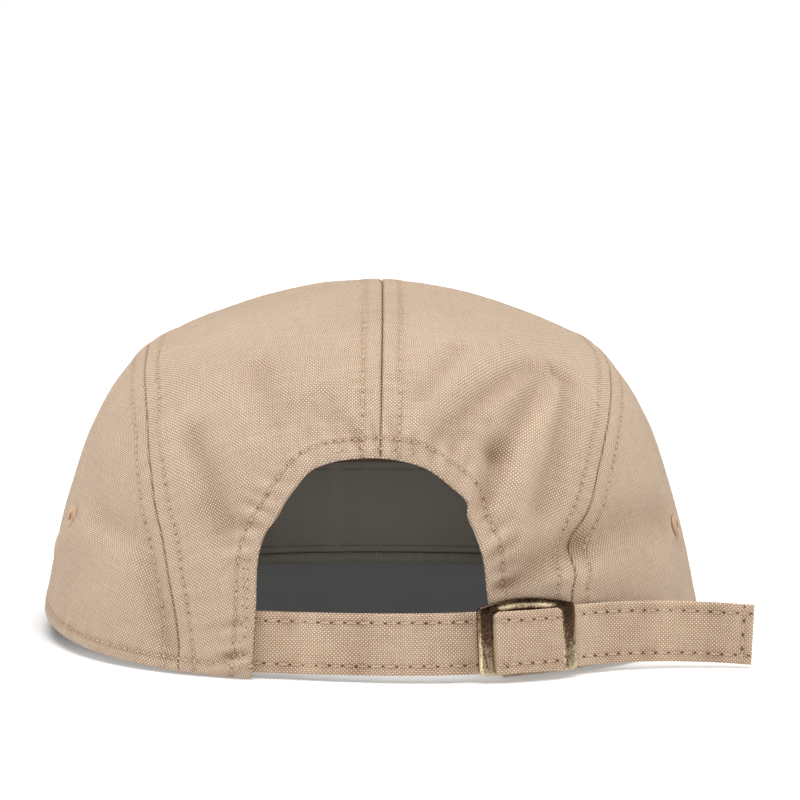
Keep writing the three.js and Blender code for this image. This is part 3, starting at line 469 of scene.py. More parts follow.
@dataclass(frozen=True)
class Line:
    """A line on the crown: places on the disc at even spacing along the cloth."""

    places: Array

    def at(self, shares: Array) -> Array:
        """Gives the line's places at shares of its length."""
        index = shares * (len(self.places) - 1)
        steps = np.arange(len(self.places))
        return np.stack([np.interp(index, steps, self.places[:, k]) for k in (0, 1)], -1)

    def evened(self, count: int, reach: int) -> "Line":
        """Spaces the line's places evenly and rounds off its kinks.

        Args:
            count: the number of steps.
            reach: how many places each one is averaged with.

        Returns:
            The evened line, with the same ends.
        """
        run = run_along(CROWN.point(self.places))
        at = np.linspace(0, run[-1], count + 1)
        even = np.stack([np.interp(at, run, self.places[:, k]) for k in (0, 1)], -1)
        first, last = even[:1], even[-1:]
        before = 2 * first - even[1 : reach + 1][::-1]
        after = 2 * last - even[-reach - 1 : -1][::-1]
        padded = np.vstack([before, even, after])
        share = np.full(2 * reach + 1, 1 / (2 * reach + 1))
        return Line(np.stack([np.convolve(padded[:, k], share, "valid") for k in (0, 1)], -1))

    def trimmed(self, start: float, end: float) -> "Line":
        """Shortens the line by distances in millimetres at its start and end."""
        run = run_along(CROWN.point(self.places))
        return Line(self.at(np.linspace(start / run[-1], 1 - end / run[-1], len(self.places))))

    def beside(self, distance: float, steps: int = 8) -> "Line":
        """Gives the line at that distance over the cloth, to its left seen from outside."""
        places = self.places.copy()
        for _ in range(steps):
            across, along = CROWN.slopes(places)
            tangent = unit(np.gradient(CROWN.point(places), axis=0))
            way = np.cross(unit(np.cross(across, along)), tangent) * distance / steps
            a, b, c = (across**2).sum(-1), (across * along).sum(-1), (along**2).sum(-1)
            d, e = (across * way).sum(-1), (along * way).sum(-1)
            places = places + np.stack([c * d - b * e, a * e - b * d], -1) / (a * c - b * b)[:, None]
        return Line(places)


def line_through(knots: Array, count: int = 400) -> Line:
    """Makes an evenly spaced line along a smooth curve through places on the disc."""
    fine = spline(knots, np.linspace(0, 1, 2 * count + 1))
    run = run_along(CROWN.point(fine))
    at = np.linspace(0, run[-1], count + 1)
    return Line(np.stack([np.interp(at, run, fine[:, k]) for k in (0, 1)], -1))


@dataclass(frozen=True)
class SeamRow:
    """One station of a side seam: how far back it is, and its shares across on each side."""

    back: float
    left: float
    right: float


@dataclass(frozen=True)
class EdgeRow:
    """One station of the opening's edge: its share of the height and shares of the half width."""

    up: float
    left: float
    right: float


@dataclass(frozen=True)
class Pattern:
    """The cap's seam lines and the edge of its strap opening."""

    opening_half_width: float = 30.0
    opening_height: float = 55.9
    centre_offset: float = 2.4
    centre_level: float = 0.88
    front_seam_angle: float = math.radians(48)
    front_back_share: float = -0.345
    front_bow: float = 0.012
    turn_row: float = 5.4
    arch_share: float = 18 / 38
    side_rows: tuple[SeamRow, ...] = (
        SeamRow(0.862, 0.507, 0.515),
        SeamRow(0.75, 0.468, 0.478),
        SeamRow(0.68, 0.452, 0.448),
        SeamRow(0.6, 0.432, 0.43),
        SeamRow(0.52, 0.417, 0.428),
        SeamRow(0.43, 0.393, 0.415),
        SeamRow(0.3, 0.367, 0.406),
        SeamRow(0.15, 0.373, 0.408),
        SeamRow(0.0, 0.386, 0.405),
        SeamRow(-0.16, 0.362, 0.37),
        SeamRow(-0.305, 0.288, 0.288),
    )
    edge_rows: tuple[EdgeRow, ...] = (
        EdgeRow(0.0, 1.02, 1.13),
        EdgeRow(0.17, 1.0, 1.05),
        EdgeRow(0.34, 0.98, 1.0),
        EdgeRow(0.52, 0.97, 0.965),
        EdgeRow(0.65, 0.91, 0.89),
        EdgeRow(0.73, 0.8, 0.825),
        EdgeRow(0.8, 0.73, 0.82),
        EdgeRow(0.865, 0.64, 0.69),
        EdgeRow(0.915, 0.57, 0.575),
        EdgeRow(0.955, 0.475, 0.46),
        EdgeRow(0.985, 0.3, 0.27),
        EdgeRow(1.0, 0.08, 0.08),
    )

    def top_of_opening(self) -> Array:
        """Gives the place where the centre seam meets the opening."""
        return CROWN.from_back(np.array(-self.centre_offset), np.array(self.opening_height))

    def opening(self, side: Side) -> Line:
        """Gives the opening's edge from the rim to the top middle."""
        share = np.array([getattr(row, side.name.lower()) for row in self.edge_rows])
        up = np.array([row.up for row in self.edge_rows])
        places = CROWN.from_back(side.value * share * self.opening_half_width, up * self.opening_height)
        places[0] /= np.hypot(*places[0])
        return line_through(np.vstack([places, self.top_of_opening()]))

    def front_top_place(self) -> Array:
        """Gives the place where the centre seam meets the front panel."""
        return np.array([-self.centre_offset / (CROWN.width * self.centre_level), self.front_back_share])

    def centre(self) -> Line:
        """Gives the centre seam from the opening forward to the front panel."""
        lean = self.front_top_place()[0]
        knots = [self.top_of_opening(), [lean, 0.3], [lean, 0.0], self.front_top_place()]
        return line_through(np.array(knots))

    def side_knots(self, side: Side) -> Array:
        """Gives the side seam's rows as places on the disc, the first on the rim."""
        share = np.array([getattr(row, side.name.lower()) for row in self.side_rows])
        rows = np.stack([side.value * share, [row.back for row in self.side_rows]], -1)
        rows[0] /= np.hypot(*rows[0])
        return rows

    def side(self, side: Side) -> tuple[Line, Line]:
        """Gives the side seam in two lines, up to its turn and on to the front panel."""
        knots = self.side_knots(side)
        turn = self.turn_row / (len(knots) - 1)
        lower = spline(knots, np.linspace(0, turn, 25))
        upper = spline(knots, np.linspace(turn, 1, 25))
        return line_through(lower), line_through(upper)

    def front_side(self, side: Side) -> Line:
        """Gives the seam between the front panel and a side panel, from the rim up."""
        angle = -self.front_seam_angle if side is Side.LEFT else math.pi + self.front_seam_angle
        foot, corner = on_rim(np.array(angle)), self.side_knots(side)[-1]
        return line_through(np.array([foot, (foot + corner) / 2, corner]))

    def front_top(self, side: Side) -> Line:
        """Gives the seam between the front panel and a back panel, from the middle out."""
        middle, corner = self.front_top_place(), self.side_knots(side)[-1]
        between = (middle + corner) / 2 - np.array([0.0, self.front_bow])
        return line_through(np.array([middle, between, corner]))


PATTERN = Pattern()


def joined(lower: Line, upper: Line, turn: float) -> Edge:
    """Makes one edge of two lines that meet at a share of it."""

    def edge(shares: Array) -> Array:
        """Reads the places at shares of the edge, on the one line or on the other."""
        first = lower.at(np.clip(shares / turn, 0, 1))
        second = upper.at(np.clip((shares - turn) / (1 - turn), 0, 1))
        return np.where((shares < turn)[:, None], first, second)

    return edge


def rim_between(start: Array, end: Array, turn: int) -> Edge:
    """Makes an edge along the rim between two places, the short way in the turn's sense."""
    first, last = math.atan2(start[1], start[0]), math.atan2(end[1], end[0])
    if turn > 0 and last < first:
        last += 2 * math.pi
    if turn < 0 and last > first:
        last -= 2 * math.pi

    def edge(shares: Array) -> Array:
        """Reads the places at shares of the edge."""
        return on_rim(first + (last - first) * shares)

    return edge


def patch(bottom: Edge, top: Edge, left: Edge, right: Edge, across: Array, up: Array) -> Array:
    """Fills the space between four edges of the disc.

    Args:
        bottom: the edge that runs across at the start of the rows.
        top: the edge that runs across at their end.
        left: the edge that runs up at the start of the columns.
        right: the edge that runs up at their end.
        across: the columns' shares.
        up: the rows' shares.

    Returns:
        Places on the disc, by row and column.
    """
    u, v = across[None, :, None], up[:, None, None]
    low, high = bottom(across)[None], top(across)[None]
    near, far = left(up)[:, None], right(up)[:, None]
    sides = near * (1 - u) + far * u
    ends = (low - low[:, :1] * (1 - u) - low[:, -1:] * u) * (1 - v)
    heads = (high - high[:, :1] * (1 - u) - high[:, -1:] * u) * v
    return sides + ends + heads


# The cloth's relief: worn folds, and what sewing does to the cloth beside a seam or a hem


class Track:
    """A line in space from which distances over the cloth are measured."""

    def __init__(self, points: Array) -> None:
        """Keeps a row of points in millimetres."""
        self.points = points
        self.run = run_along(points)
        self.tangent = unit(np.gradient(points, axis=0))

    def nearest(self, points: Array) -> tuple[Array, Array]:
        """Measures points against the line.

        Args:
            points: points in millimetres, in any shape of array.

        Returns:
            How far each lies from the line, and how far along the line.
        """
        flat = points.reshape(-1, 3)
        square = (flat**2).sum(-1)[:, None] - 2 * flat @ self.points.T + (self.points**2).sum(-1)[None]
        k = square.argmin(1)
        offset = flat - self.points[k]
        ahead = (offset * self.tangent[k]).sum(-1)
        inside = (k > 0) & (k < len(self.points) - 1)
        # Past a line's end the distance grows fast, so that its rows stop there
        beside = offset - np.where(inside, ahead, -7.0 * ahead)[:, None] * self.tangent[k]
        away = np.linalg.norm(beside, axis=-1)
        return away.reshape(points.shape[:-1]), (self.run[k] + ahead).reshape(points.shape[:-1])


@dataclass(frozen=True)
class Sewing:
    """How sewn cloth lies beside a seam or a hem, in millimetres."""

    stitch_at: float
    ditch: float
    ditch_width: float
    pad: float
    pad_reach: float
    groove: float
    pucker: float
    pucker_length: float
    pucker_reach: float
    groove_width: float = 0.62
    pitch: float = 2.3
    seed: int = 1

    def padding(self, away: Array) -> Array:
        """Gives how far the folded allowance under the cloth lifts it."""
        return self.pad * (1 - smooth(self.pad_reach - 0.9, self.pad_reach + 0.7, away))

    def hollows(self, away: Array, run: Array) -> Array:
        """Gives the depth of the ditch and of the groove that the stitches pull, below zero."""
        groove = self.groove * pull(run, self.pitch) * ridge(away - self.stitch_at, self.groove_width)
        return -self.ditch * ridge(away, self.ditch_width) - groove

    def waves(self, away: Array, run: Array) -> Array:
        """Gives the puckers' height beside the stitches."""
        near = ridge(away - self.stitch_at, self.pucker_reach)
        strength = 0.65 + 0.5 * Ripple(self.pucker_length * 6, self.seed + 50).along(run)
        wave = Ripple(self.pucker_length, self.seed).along(run + 0.25 * away)
        return self.pucker * strength * wave * near * smooth(0.0, 1.6, away)


SEAM = Sewing(4.75, 0.28, 0.45, 0.3, 5.9, 0.26, 0.22, 4.2, 3.6, seed=11)
ARCH_HEM = Sewing(5.0, 0.0, 0.5, 0.4, 6.2, 0.3, 1.1, 4.6, 4.6, seed=23)
RIM_HEM = Sewing(3.2, 0.0, 0.5, 0.3, 4.4, 0.36, 0.4, 4.8, 3.4, seed=37)

# How much painted shade the puckers and the fold valleys lay on the cloth's colour, and how much relief the
# rim keeps
WAVE_SHADE = 0.3
FOLD_SHADE = 0.07
RIM_RELIEF = 0.35

# The cloth's own unevenness: each wave's height in millimetres and its form
UNEVEN = ((0.22, Ripple(16.0, 3)), (0.1, Ripple(6.5, 5)))


class Cloth:
    """The crown's cloth with its folds and sewn relief."""

    def __init__(self) -> None:
        """Places the folds and the lines of the sewing."""
        self.folds = [self.fold_line(fold) for fold in MAIN_FOLDS]
        self.creases = [self.fold_line(fold) for fold in SMALL_FOLDS]
        left, right = (PATTERN.opening(side).places for side in Side)
        self.arch = Line(np.vstack([left[:-16], right[::-1][16:]])).evened(800, 15)
        left_foot, right_foot = self.arch.places[0], self.arch.places[-1]
        rim = rim_between(left_foot, right_foot, -1)
        self.rim = Line(rim(np.linspace(0, 1, 1200)))
        self.seams = [PATTERN.centre()]
        for side in Side:
            lower, upper = PATTERN.side(side)
            self.seams.append(Line(np.vstack([lower.places, upper.places[1:]])))
            self.seams.append(PATTERN.front_side(side))
            self.seams.append(PATTERN.front_top(side))
        self.seam_tracks = [Track(CROWN.point(line.places)) for line in self.seams]
        self.arch_track = Track(CROWN.point(self.arch.places))
        self.rim_track = Track(CROWN.point(self.rim.places))

    @staticmethod
    def fold_line(fold: Fold) -> tuple[Array, float, float]:
        """Places a fold on the crown as three points, its depth and its spread."""
        start, end = np.array(fold.start), np.array(fold.end)
        knots = CROWN.point(np.array([start, (start + end) / 2, end]))
        return knots, fold.depth * CROWN.fold_depth, fold.spread * CROWN.fold_spread

    @staticmethod
    def fold_height(points: Array, folds: Sequence[tuple[Array, float, float]]) -> Array:
        """Adds up the folds' heights at points of the crown."""
        total = np.zeros(points.shape[:-1])
        for knots, depth, spread in folds:
            away = np.full(points.shape[:-1], np.inf)
            for start, end in zip(knots[:-1], knots[1:]):
                way = end - start
                share = np.clip(((points - start) @ way) / (way @ way), 0, 1)
                away = np.minimum(away, np.linalg.norm(points - start - share[..., None] * way, axis=-1))
            total += depth * ridge(away, spread)
        return total

    def sewn_relief(self, points: Array) -> tuple[Array, Array]:
        """Works out the sewing at points of the crown's plain form.

        Args:
            points: places in space on the plain form.

        Returns:
            The relief of every seam and hem, and the part of it that lies in shade.
        """
        height, shade = np.zeros(points.shape[:-1]), np.zeros(points.shape[:-1])
        rows = [(SEAM, track) for track in self.seam_tracks]
        for sewing, track in [*rows, (ARCH_HEM, self.arch_track), (RIM_HEM, self.rim_track)]:
            away, run = track.nearest(points)
            hollows, waves = sewing.hollows(away, run), sewing.waves(away, run)
            height += sewing.padding(away) + hollows + waves
            shade += hollows + WAVE_SHADE * waves
        return height, shade

    def sheet(self, places: Array) -> dict[str, Array]:
        """Works out the cloth at places on the disc.

        Args:
            places: places on the disc, in any shape of array.

        Returns:
            The folded outside, the dressed outside, the normals, the ways through the wall and the
            painted shade that darkens the colour in seam hollows, stitch grooves, puckers and fold valleys.
        """
        rho = np.hypot(places[..., 0], places[..., 1])
        plain, normal = CROWN.point(places), CROWN.normal(places)
        fade = 1 - smooth(CROWN.folds_end, 1.0, rho)
        main = self.fold_height(plain, self.folds) * fade
        fine = self.fold_height(plain, self.creases) + sum(size * wave.over(plain) for size, wave in UNEVEN)
        sewn, shade = self.sewn_relief(plain)
        through = normal.copy()
        through[..., 2] *= 1 - smooth(CROWN.wall_turn, 1.0, rho)
        through = unit(through)
        folded = plain + normal * main[..., None]
        relief = fine * fade**2 + sewn * (RIM_RELIEF + (1 - RIM_RELIEF) * fade)
        dressed = folded + normal * relief[..., None]
        # The "sewn" value is painted shade: darker in seam hollows, stitch grooves, puckers and fold valleys,
        # a little lighter on pucker crests
        return {"folded": folded, "dressed": dressed, "normal": normal, "through": through,
                "sewn": shade + FOLD_SHADE * np.minimum(main, 0.0)}


# Mesh making


@dataclass
class Solid:
    """A closed mesh in millimetres with a grain map and named values at its points."""

    points: Array
    faces: Faces
    grain: Array
    values: dict[str, Array] = field(default_factory=dict)
    trims: tuple[Material, ...] = ()
    trimmed: Sequence[int] = ()

    def make(self, name: str, material: Material) -> Piece:
        """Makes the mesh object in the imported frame.

        Args:
            name: the piece's name.
            material: its finish.

        Returns:
            The object, at the origin with its place in its mesh.
        """
        mesh = bpy.data.meshes.new(name)
        mesh.from_pydata(place(self.points).tolist(), [], self.faces)
        corner = np.empty(len(mesh.loops), np.int32)
        mesh.loops.foreach_get("vertex_index", corner)
        layer = mesh.uv_layers.new(name="grain")
        layer.data.foreach_set("uv", (self.grain[corner] * MM).astype(np.float32).ravel())
        for title, value in self.values.items():
            attribute = mesh.attributes.new(title, "FLOAT", "POINT")
            attribute.data.foreach_set("value", value.astype(np.float32))
        mesh.polygons.foreach_set("use_smooth", np.ones(len(mesh.polygons), bool))
        for kind in (material, *self.trims):
            mesh.materials.append(kind)
        if len(self.trimmed):
            mesh.polygons.foreach_set("material_index", self.trimmed)
        mesh.update()
        return add_object(name, mesh)


def grid_faces(rows: int, columns: int, first: int = 0, ring: bool = False) -> Faces:
    """Lists the quads of a grid of points.

    Args:
        rows: the number of rows.
        columns: the number of points in a row.
        first: the index of the grid's first point.
        ring: whether each row closes on itself.

    Returns:
        The quads, which face the side from which columns run right and rows run up.
    """
    j, i = np.meshgrid(np.arange(rows - 1), np.arange(columns if ring else columns - 1), indexing="ij")
    after = (i + 1) % columns
    corners = [j * columns + i, j * columns + after, (j + 1) * columns + after, (j + 1) * columns + i]
    return (np.stack(corners, -1).reshape(-1, 4) + first).tolist()


def ring_faces(rows: int, sides: int) -> Faces:
    """Lists the quads of a ring of closed rows, whose last row joins the first."""
    return [tuple(k % (rows * sides) for k in quad) for quad in grid_faces(rows + 1, sides, ring=True)]


def tube_faces(rows: int, sides: int) -> Faces:
    """Lists the faces of a tube of closed rows with both ends closed."""
    ends = [tuple(range(sides))[::-1], tuple(range((rows - 1) * sides, rows * sides))]
    return grid_faces(rows, sides, ring=True) + ends


def wall_faces(rows: int, columns: int) -> Faces:
    """Lists the quads of a wall: its outside grid, its inside grid and the strips between them."""
    count = rows * columns
    outside = grid_faces(rows, columns)
    inside = [quad[::-1] for quad in grid_faces(rows, columns, count)]
    low = np.arange(columns)
    right = np.arange(rows) * columns + columns - 1
    high = (rows - 1) * columns + low[::-1]
    left = (np.arange(rows) * columns)[::-1]
    border = np.concatenate([low, right[1:], high[1:], left[1:-1]])
    ahead = np.roll(border, -1)
    strip = np.stack([border + count, ahead + count, ahead, border], -1).tolist()
    return outside + inside + strip


def facing_out(points: Array, faces: Faces) -> Faces:
    """Turns every face of a closed mesh over where the mesh is inside out."""
    quads = np.array([face[:4] if len(face) > 3 else (*face, face[-1]) for face in faces])
    a, b, c, d = (points[quads[:, k]] for k in range(4))
    volume = (a * np.cross(b, c)).sum() + (a * np.cross(c, d)).sum()
    return faces if volume > 0 else [tuple(face[::-1]) for face in faces]


def grain_map(places: Array, middle: Array, heading: Array, steps: int = 14) -> Array:
    """Unrolls the crown onto a panel's grain, out from its middle.

    Args:
        places: places on the disc, in any shape of array.
        middle: the panel's middle on the disc.
        heading: the way that the grain runs there, as a vector in space.
        steps: the number of steps from the middle to each place.

    Returns:
        Distances across and along the grain at each place.
    """
    reach = places - middle
    spot = np.broadcast_to(CROWN.point(middle), (*places.shape[:-1], 3))
    along = np.broadcast_to(heading, spot.shape)
    flat = np.zeros(places.shape)
    for step in range(steps):
        normal = CROWN.normal(middle + reach * ((step + 0.5) / steps))
        along = unit(along - (along * normal).sum(-1, keepdims=True) * normal)
        across = np.cross(along, normal)
        ahead = CROWN.point(middle + reach * ((step + 1) / steps))
        move = ahead - spot
        flat = flat + np.stack([(move * across).sum(-1), (move * along).sum(-1)], -1)
        spot = ahead
    return flat


def rolled(away: Array, radius: float) -> Array:
    """Gives how far a rounded edge falls away at distances from the edge."""
    inside = np.clip(radius - away, 0.0, radius)
    return radius - np.sqrt(np.maximum(radius**2 - inside**2, 0.0))


# Finishes


def linear(colour: str) -> tuple[float, float, float, float]:
    """Turns a hex sRGB colour to linear values with an alpha of one."""
    parts = [int(colour[i : i + 2], 16) / 255 for i in (1, 3, 5)]
    lit = [p / 12.92 if p <= 0.04045 else ((p + 0.055) / 1.055) ** 2.4 for p in parts]
    return (*lit, 1.0)


def add_object(name: str, data: bpy.types.ID) -> Piece:
    """Makes an object of a mesh, a light or a camera and links it to the scene.

    Args:
        name: the object's name.
        data: what it shows.

    Returns:
        The object.
    """
    made = bpy.data.objects.new(name, data)
    bpy.context.scene.collection.objects.link(made)
    return made


def add_node(tree: Tree, kind: str, inputs: dict | Sequence = (), **settings: object) -> bpy.types.Node:
    """Adds a node with its settings and its inputs.

    Args:
        tree: the node tree.
        kind: the node's type.
        inputs: values, sockets or nodes by input name or index, or in the inputs' order.
        settings: properties of the node.

    Returns:
        The node.
    """
    node = tree.nodes.new(kind)
    for name, value in settings.items():
        setattr(node, name, value)
    for name, value in (inputs if isinstance(inputs, dict) else dict(enumerate(inputs))).items():
        source = value.outputs[0] if isinstance(value, bpy.types.Node) else value
        if isinstance(source, Socket):
            tree.links.new(source, node.inputs[name])
        else:
            node.inputs[name].default_value = source
    return node


def new_material(name: str) -> tuple[Material, Tree]:
    """Makes an empty material with nodes."""
    material = bpy.data.materials.new(name)
    material.use_nodes = True
    material.node_tree.nodes.clear()
    return material, material.node_tree


@dataclass(frozen=True)
class Woven:
    """Plain woven cotton, washed and matt: thread crossings show as pale dots over darker gaps."""

    name: str
    light: str
    deep: str
    thread_mm: float
    bump_mm: float
    turn: float = 0.0
    contrast: float = 1.0
    roughness: float = 0.93

    def material(self) -> Material:
        """Builds the material on the piece's grain map."""
        material, tree = new_material(self.name)
        grain = add_node(tree, "ShaderNodeUVMap", uv_map="grain")
        turned = add_node(tree, "ShaderNodeMapping", {"Vector": grain, "Rotation": (0, 0, self.turn)})
        slack = add_node(tree, "ShaderNodeTexNoise", {"Vector": turned, "Scale": 110.0, "Detail": 2.0},
                         noise_dimensions="2D")
        drift = add_node(tree, "ShaderNodeVectorMath", (slack.outputs["Color"], (0.0009,) * 3, turned),
                         operation="MULTIPLY_ADD")
        threads = add_node(tree, "ShaderNodeVectorMath",
                           {0: drift, "Scale": math.pi / (self.thread_mm * MM)}, operation="SCALE")
        split = add_node(tree, "ShaderNodeSeparateXYZ", (threads,))
        across = add_node(tree, MATH, (split.outputs["X"],), operation="SINE")
        along = add_node(tree, MATH, (split.outputs["Y"],), operation="SINE")
        over = add_node(tree, MATH, (add_node(tree, MATH, (across, along), operation="MULTIPLY"), 0.5, 0.5),
                        operation="MULTIPLY_ADD")
        gaps = add_node(tree, MATH, (add_node(tree, MATH, (across,), operation="ABSOLUTE"),
                                     add_node(tree, MATH, (along,), operation="ABSOLUTE")),
                        operation="MULTIPLY")
        gaps = add_node(tree, MATH, (gaps, 0.5), operation="POWER")
        height = add_node(tree, MATH, (add_node(tree, MATH, (over, 0.7, 0.3), operation="MULTIPLY_ADD"),
                                       gaps), operation="MULTIPLY")
        # Slubs: thicker and paler stretches of single threads, longer than they are wide
        slubs = []
        for scale in ((1500.0, 110.0, 1.0), (110.0, 1500.0, 1.0)):
            drawn = add_node(tree, "ShaderNodeMapping", {"Vector": turned, "Scale": scale})
            slubs.append(add_node(tree, "ShaderNodeTexNoise", {"Vector": drawn, "Scale": 1.0, "Detail": 2.0},
                                  noise_dimensions="2D"))
        slub = add_node(tree, MATH, (slubs[0], slubs[1]), operation="ADD")
        place_of = add_node(tree, "ShaderNodeTexCoord").outputs["Object"]
        cloud = add_node(tree, "ShaderNodeTexNoise", {"Vector": place_of, "Scale": 34.0, "Detail": 3.0})
        tone = add_node(tree, MATH, (height, 1.15 * self.contrast, 0.5 - 0.52 * self.contrast),
                        operation="MULTIPLY_ADD")
        tone = add_node(tree, MATH, (add_node(tree, MATH, (slub, 1.0), operation="SUBTRACT"), 0.14, tone),
                        operation="MULTIPLY_ADD")
        tone = add_node(tree, MATH, (add_node(tree, MATH, (cloud, 0.5), operation="SUBTRACT"), 0.14, tone),
                        operation="MULTIPLY_ADD")
        # Painted shade: the "sewn" value darkens the colour in seam hollows, stitch grooves, puckers and fold
        # valleys
        painted_shade = add_node(tree, "ShaderNodeAttribute", attribute_name="sewn")
        tone = add_node(tree, MATH, (painted_shade.outputs["Fac"], 0.8, tone), operation="MULTIPLY_ADD")
        colour = add_node(tree, "ShaderNodeMix", {0: add_node(tree, MATH, (add_node(tree, MATH, (tone, 0.0),
                                                                                    operation="MAXIMUM"),
                                                                                    1.0),
                                                                                    operation="MINIMUM"),
                                                                                    6: linear(self.deep),
                                                                                    7: linear(self.light)},
                                                                                    data_type="RGBA")
        bump = add_node(tree, "ShaderNodeBump", {"Strength": 0.75, "Distance": self.bump_mm * MM,
                                                 "Height": height})
        surface = add_node(tree, "ShaderNodeBsdfPrincipled",
                           {"Base Color": colour.outputs[2], "Roughness": self.roughness, "Normal": bump,
                            "Specular IOR Level": 0.25, "Sheen Weight": 0.12, "Sheen Roughness": 0.6,
                            "Sheen Tint": linear(self.light)})
        add_node(tree, "ShaderNodeOutputMaterial", {"Surface": surface})
        return material


@dataclass(frozen=True)
class SewingThread:
    """Twisted cotton sewing thread: a matt line a little deeper than the cloth."""

    name: str
    colour: str
    shade: str
    roughness: float = 0.8

    def material(self) -> Material:
        """Builds the material on object coordinates."""
        material, tree = new_material(self.name)
        spot = add_node(tree, "ShaderNodeTexCoord").outputs["Object"]
        fuzz = add_node(tree, "ShaderNodeTexNoise", {"Vector": spot, "Scale": 900.0, "Detail": 2.0})
        colour = add_node(tree, "ShaderNodeMix", {0: fuzz, 6: linear(self.shade), 7: linear(self.colour)},
                          data_type="RGBA")
        bump = add_node(tree, "ShaderNodeBump", {"Strength": 0.5, "Distance": 0.08 * MM, "Height": fuzz})
        surface = add_node(tree, "ShaderNodeBsdfPrincipled",
                           {"Base Color": colour.outputs[2], "Roughness": self.roughness, "Normal": bump,
                            "Specular IOR Level": 0.3})
        add_node(tree, "ShaderNodeOutputMaterial", {"Surface": surface})
        return material


@dataclass(frozen=True)
class AntiqueBrass:
    """Brushed brass with an antique stain: near black where the stain is thick, bronze where the piece's
    value is high, which holds edge wear and painted light.
    """

    name: str
    dark: str
    bronze: str
    bright: str

    def material(self) -> Material:
        """Builds the material on object coordinates and the piece's value of edge wear and painted light."""
        material, tree = new_material(self.name)
        spot = add_node(tree, "ShaderNodeTexCoord").outputs["Object"]
        brush = add_node(tree, "ShaderNodeMapping", {"Vector": spot, "Scale": (2200.0, 2200.0, 420.0)})
        scratch = add_node(tree, "ShaderNodeTexNoise", {"Vector": brush, "Scale": 1.0, "Detail": 3.0,
                                                        "Roughness": 0.6})
        stain = add_node(tree, "ShaderNodeTexNoise", {"Vector": spot, "Scale": 2100.0, "Detail": 5.0})
        # The piece's value: real edge wear, plus painted light that grows paler towards the bottom and a
        # painted highlight on the top bar
        wear_and_painted_light = add_node(tree, "ShaderNodeAttribute", attribute_name="wear_and_painted_light").outputs["Fac"]
        tone = add_node(tree, MATH, (scratch, 0.4, -0.36), operation="MULTIPLY_ADD")
        tone = add_node(tree, MATH, (stain, 0.95, tone), operation="MULTIPLY_ADD")
        tone = add_node(tree, MATH, (tone, add_node(tree, MATH, (wear_and_painted_light, 0.75), operation="MULTIPLY")),
                        operation="ADD")
        ramp = add_node(tree, "ShaderNodeValToRGB", (tone,))
        stops = ramp.color_ramp.elements
        stops[0].position, stops[0].color = 0.12, linear(self.dark)
        stops[1].position, stops[1].color = 1.0, linear(self.bright)
        middle = stops.new(0.55)
        middle.color = linear(self.bronze)
        bump = add_node(tree, "ShaderNodeBump",
                        {"Strength": 0.35, "Distance": 0.05 * MM, "Height": scratch})
        rough = add_node(tree, MATH, (scratch, 0.25, 0.24), operation="MULTIPLY_ADD")
        surface = add_node(tree, "ShaderNodeBsdfPrincipled",
                           {"Base Color": ramp, "Metallic": 1.0, "Roughness": rough, "Normal": bump})
        add_node(tree, "ShaderNodeOutputMaterial", {"Surface": surface})
        return material


@dataclass
class Finishes:
    """The cap's finishes, made once and shared by its pieces."""

    canvas: Material = field(init=False)
    strap_canvas: Material = field(init=False)
    band: Material = field(init=False)
    thread: Material = field(init=False)
    band_thread: Material = field(init=False)
    hole: Material = field(init=False)
    brass: Material = field(init=False)

    def __post_init__(self) -> None:
        """Builds each material from its finish."""
        # Cotton duck: about 20 threads a centimetre, seen as pale dots in slanting rows
        self.canvas = Woven("washed cotton canvas", "#fbe6cd", "#7d5c42", 0.5, 0.24).material()
        self.strap_canvas = Woven("washed cotton canvas, strap", "#fbe3c7", "#7b5a40", 0.5, 0.24).material()
        # Cotton twill tape: a quiet dark grey without shine
        self.band = Woven("dark cotton tape", "#c9c3b9", "#a8a298", 0.55, 0.1, contrast=0.4).material()
        # Spun cotton thread: a matt tan line a little deeper than the canvas
        self.thread = SewingThread("tan cotton thread", "#dcc2a5", "#b09177").material()
        # The same thread dyed for the band: a quiet grey line on grey tape
        self.band_thread = SewingThread("dark cotton thread", "#a39d93", "#837d74").material()
        # Needle hole: a dark disc between two stitches, painted shade where the thread enters the cloth
        self.hole = SewingThread("needle hole", "#6b4c3a", "#4f3628").material()
        # Cast brass with a dark stain, brushed bright on rubbed edges, with a painted reflection and a
        # painted highlight from the piece's value
        self.brass = AntiqueBrass("antique brushed brass", "#1c140f", "#5f4a38", "#dbc8a6").material()


# Sewing by Geometry Nodes


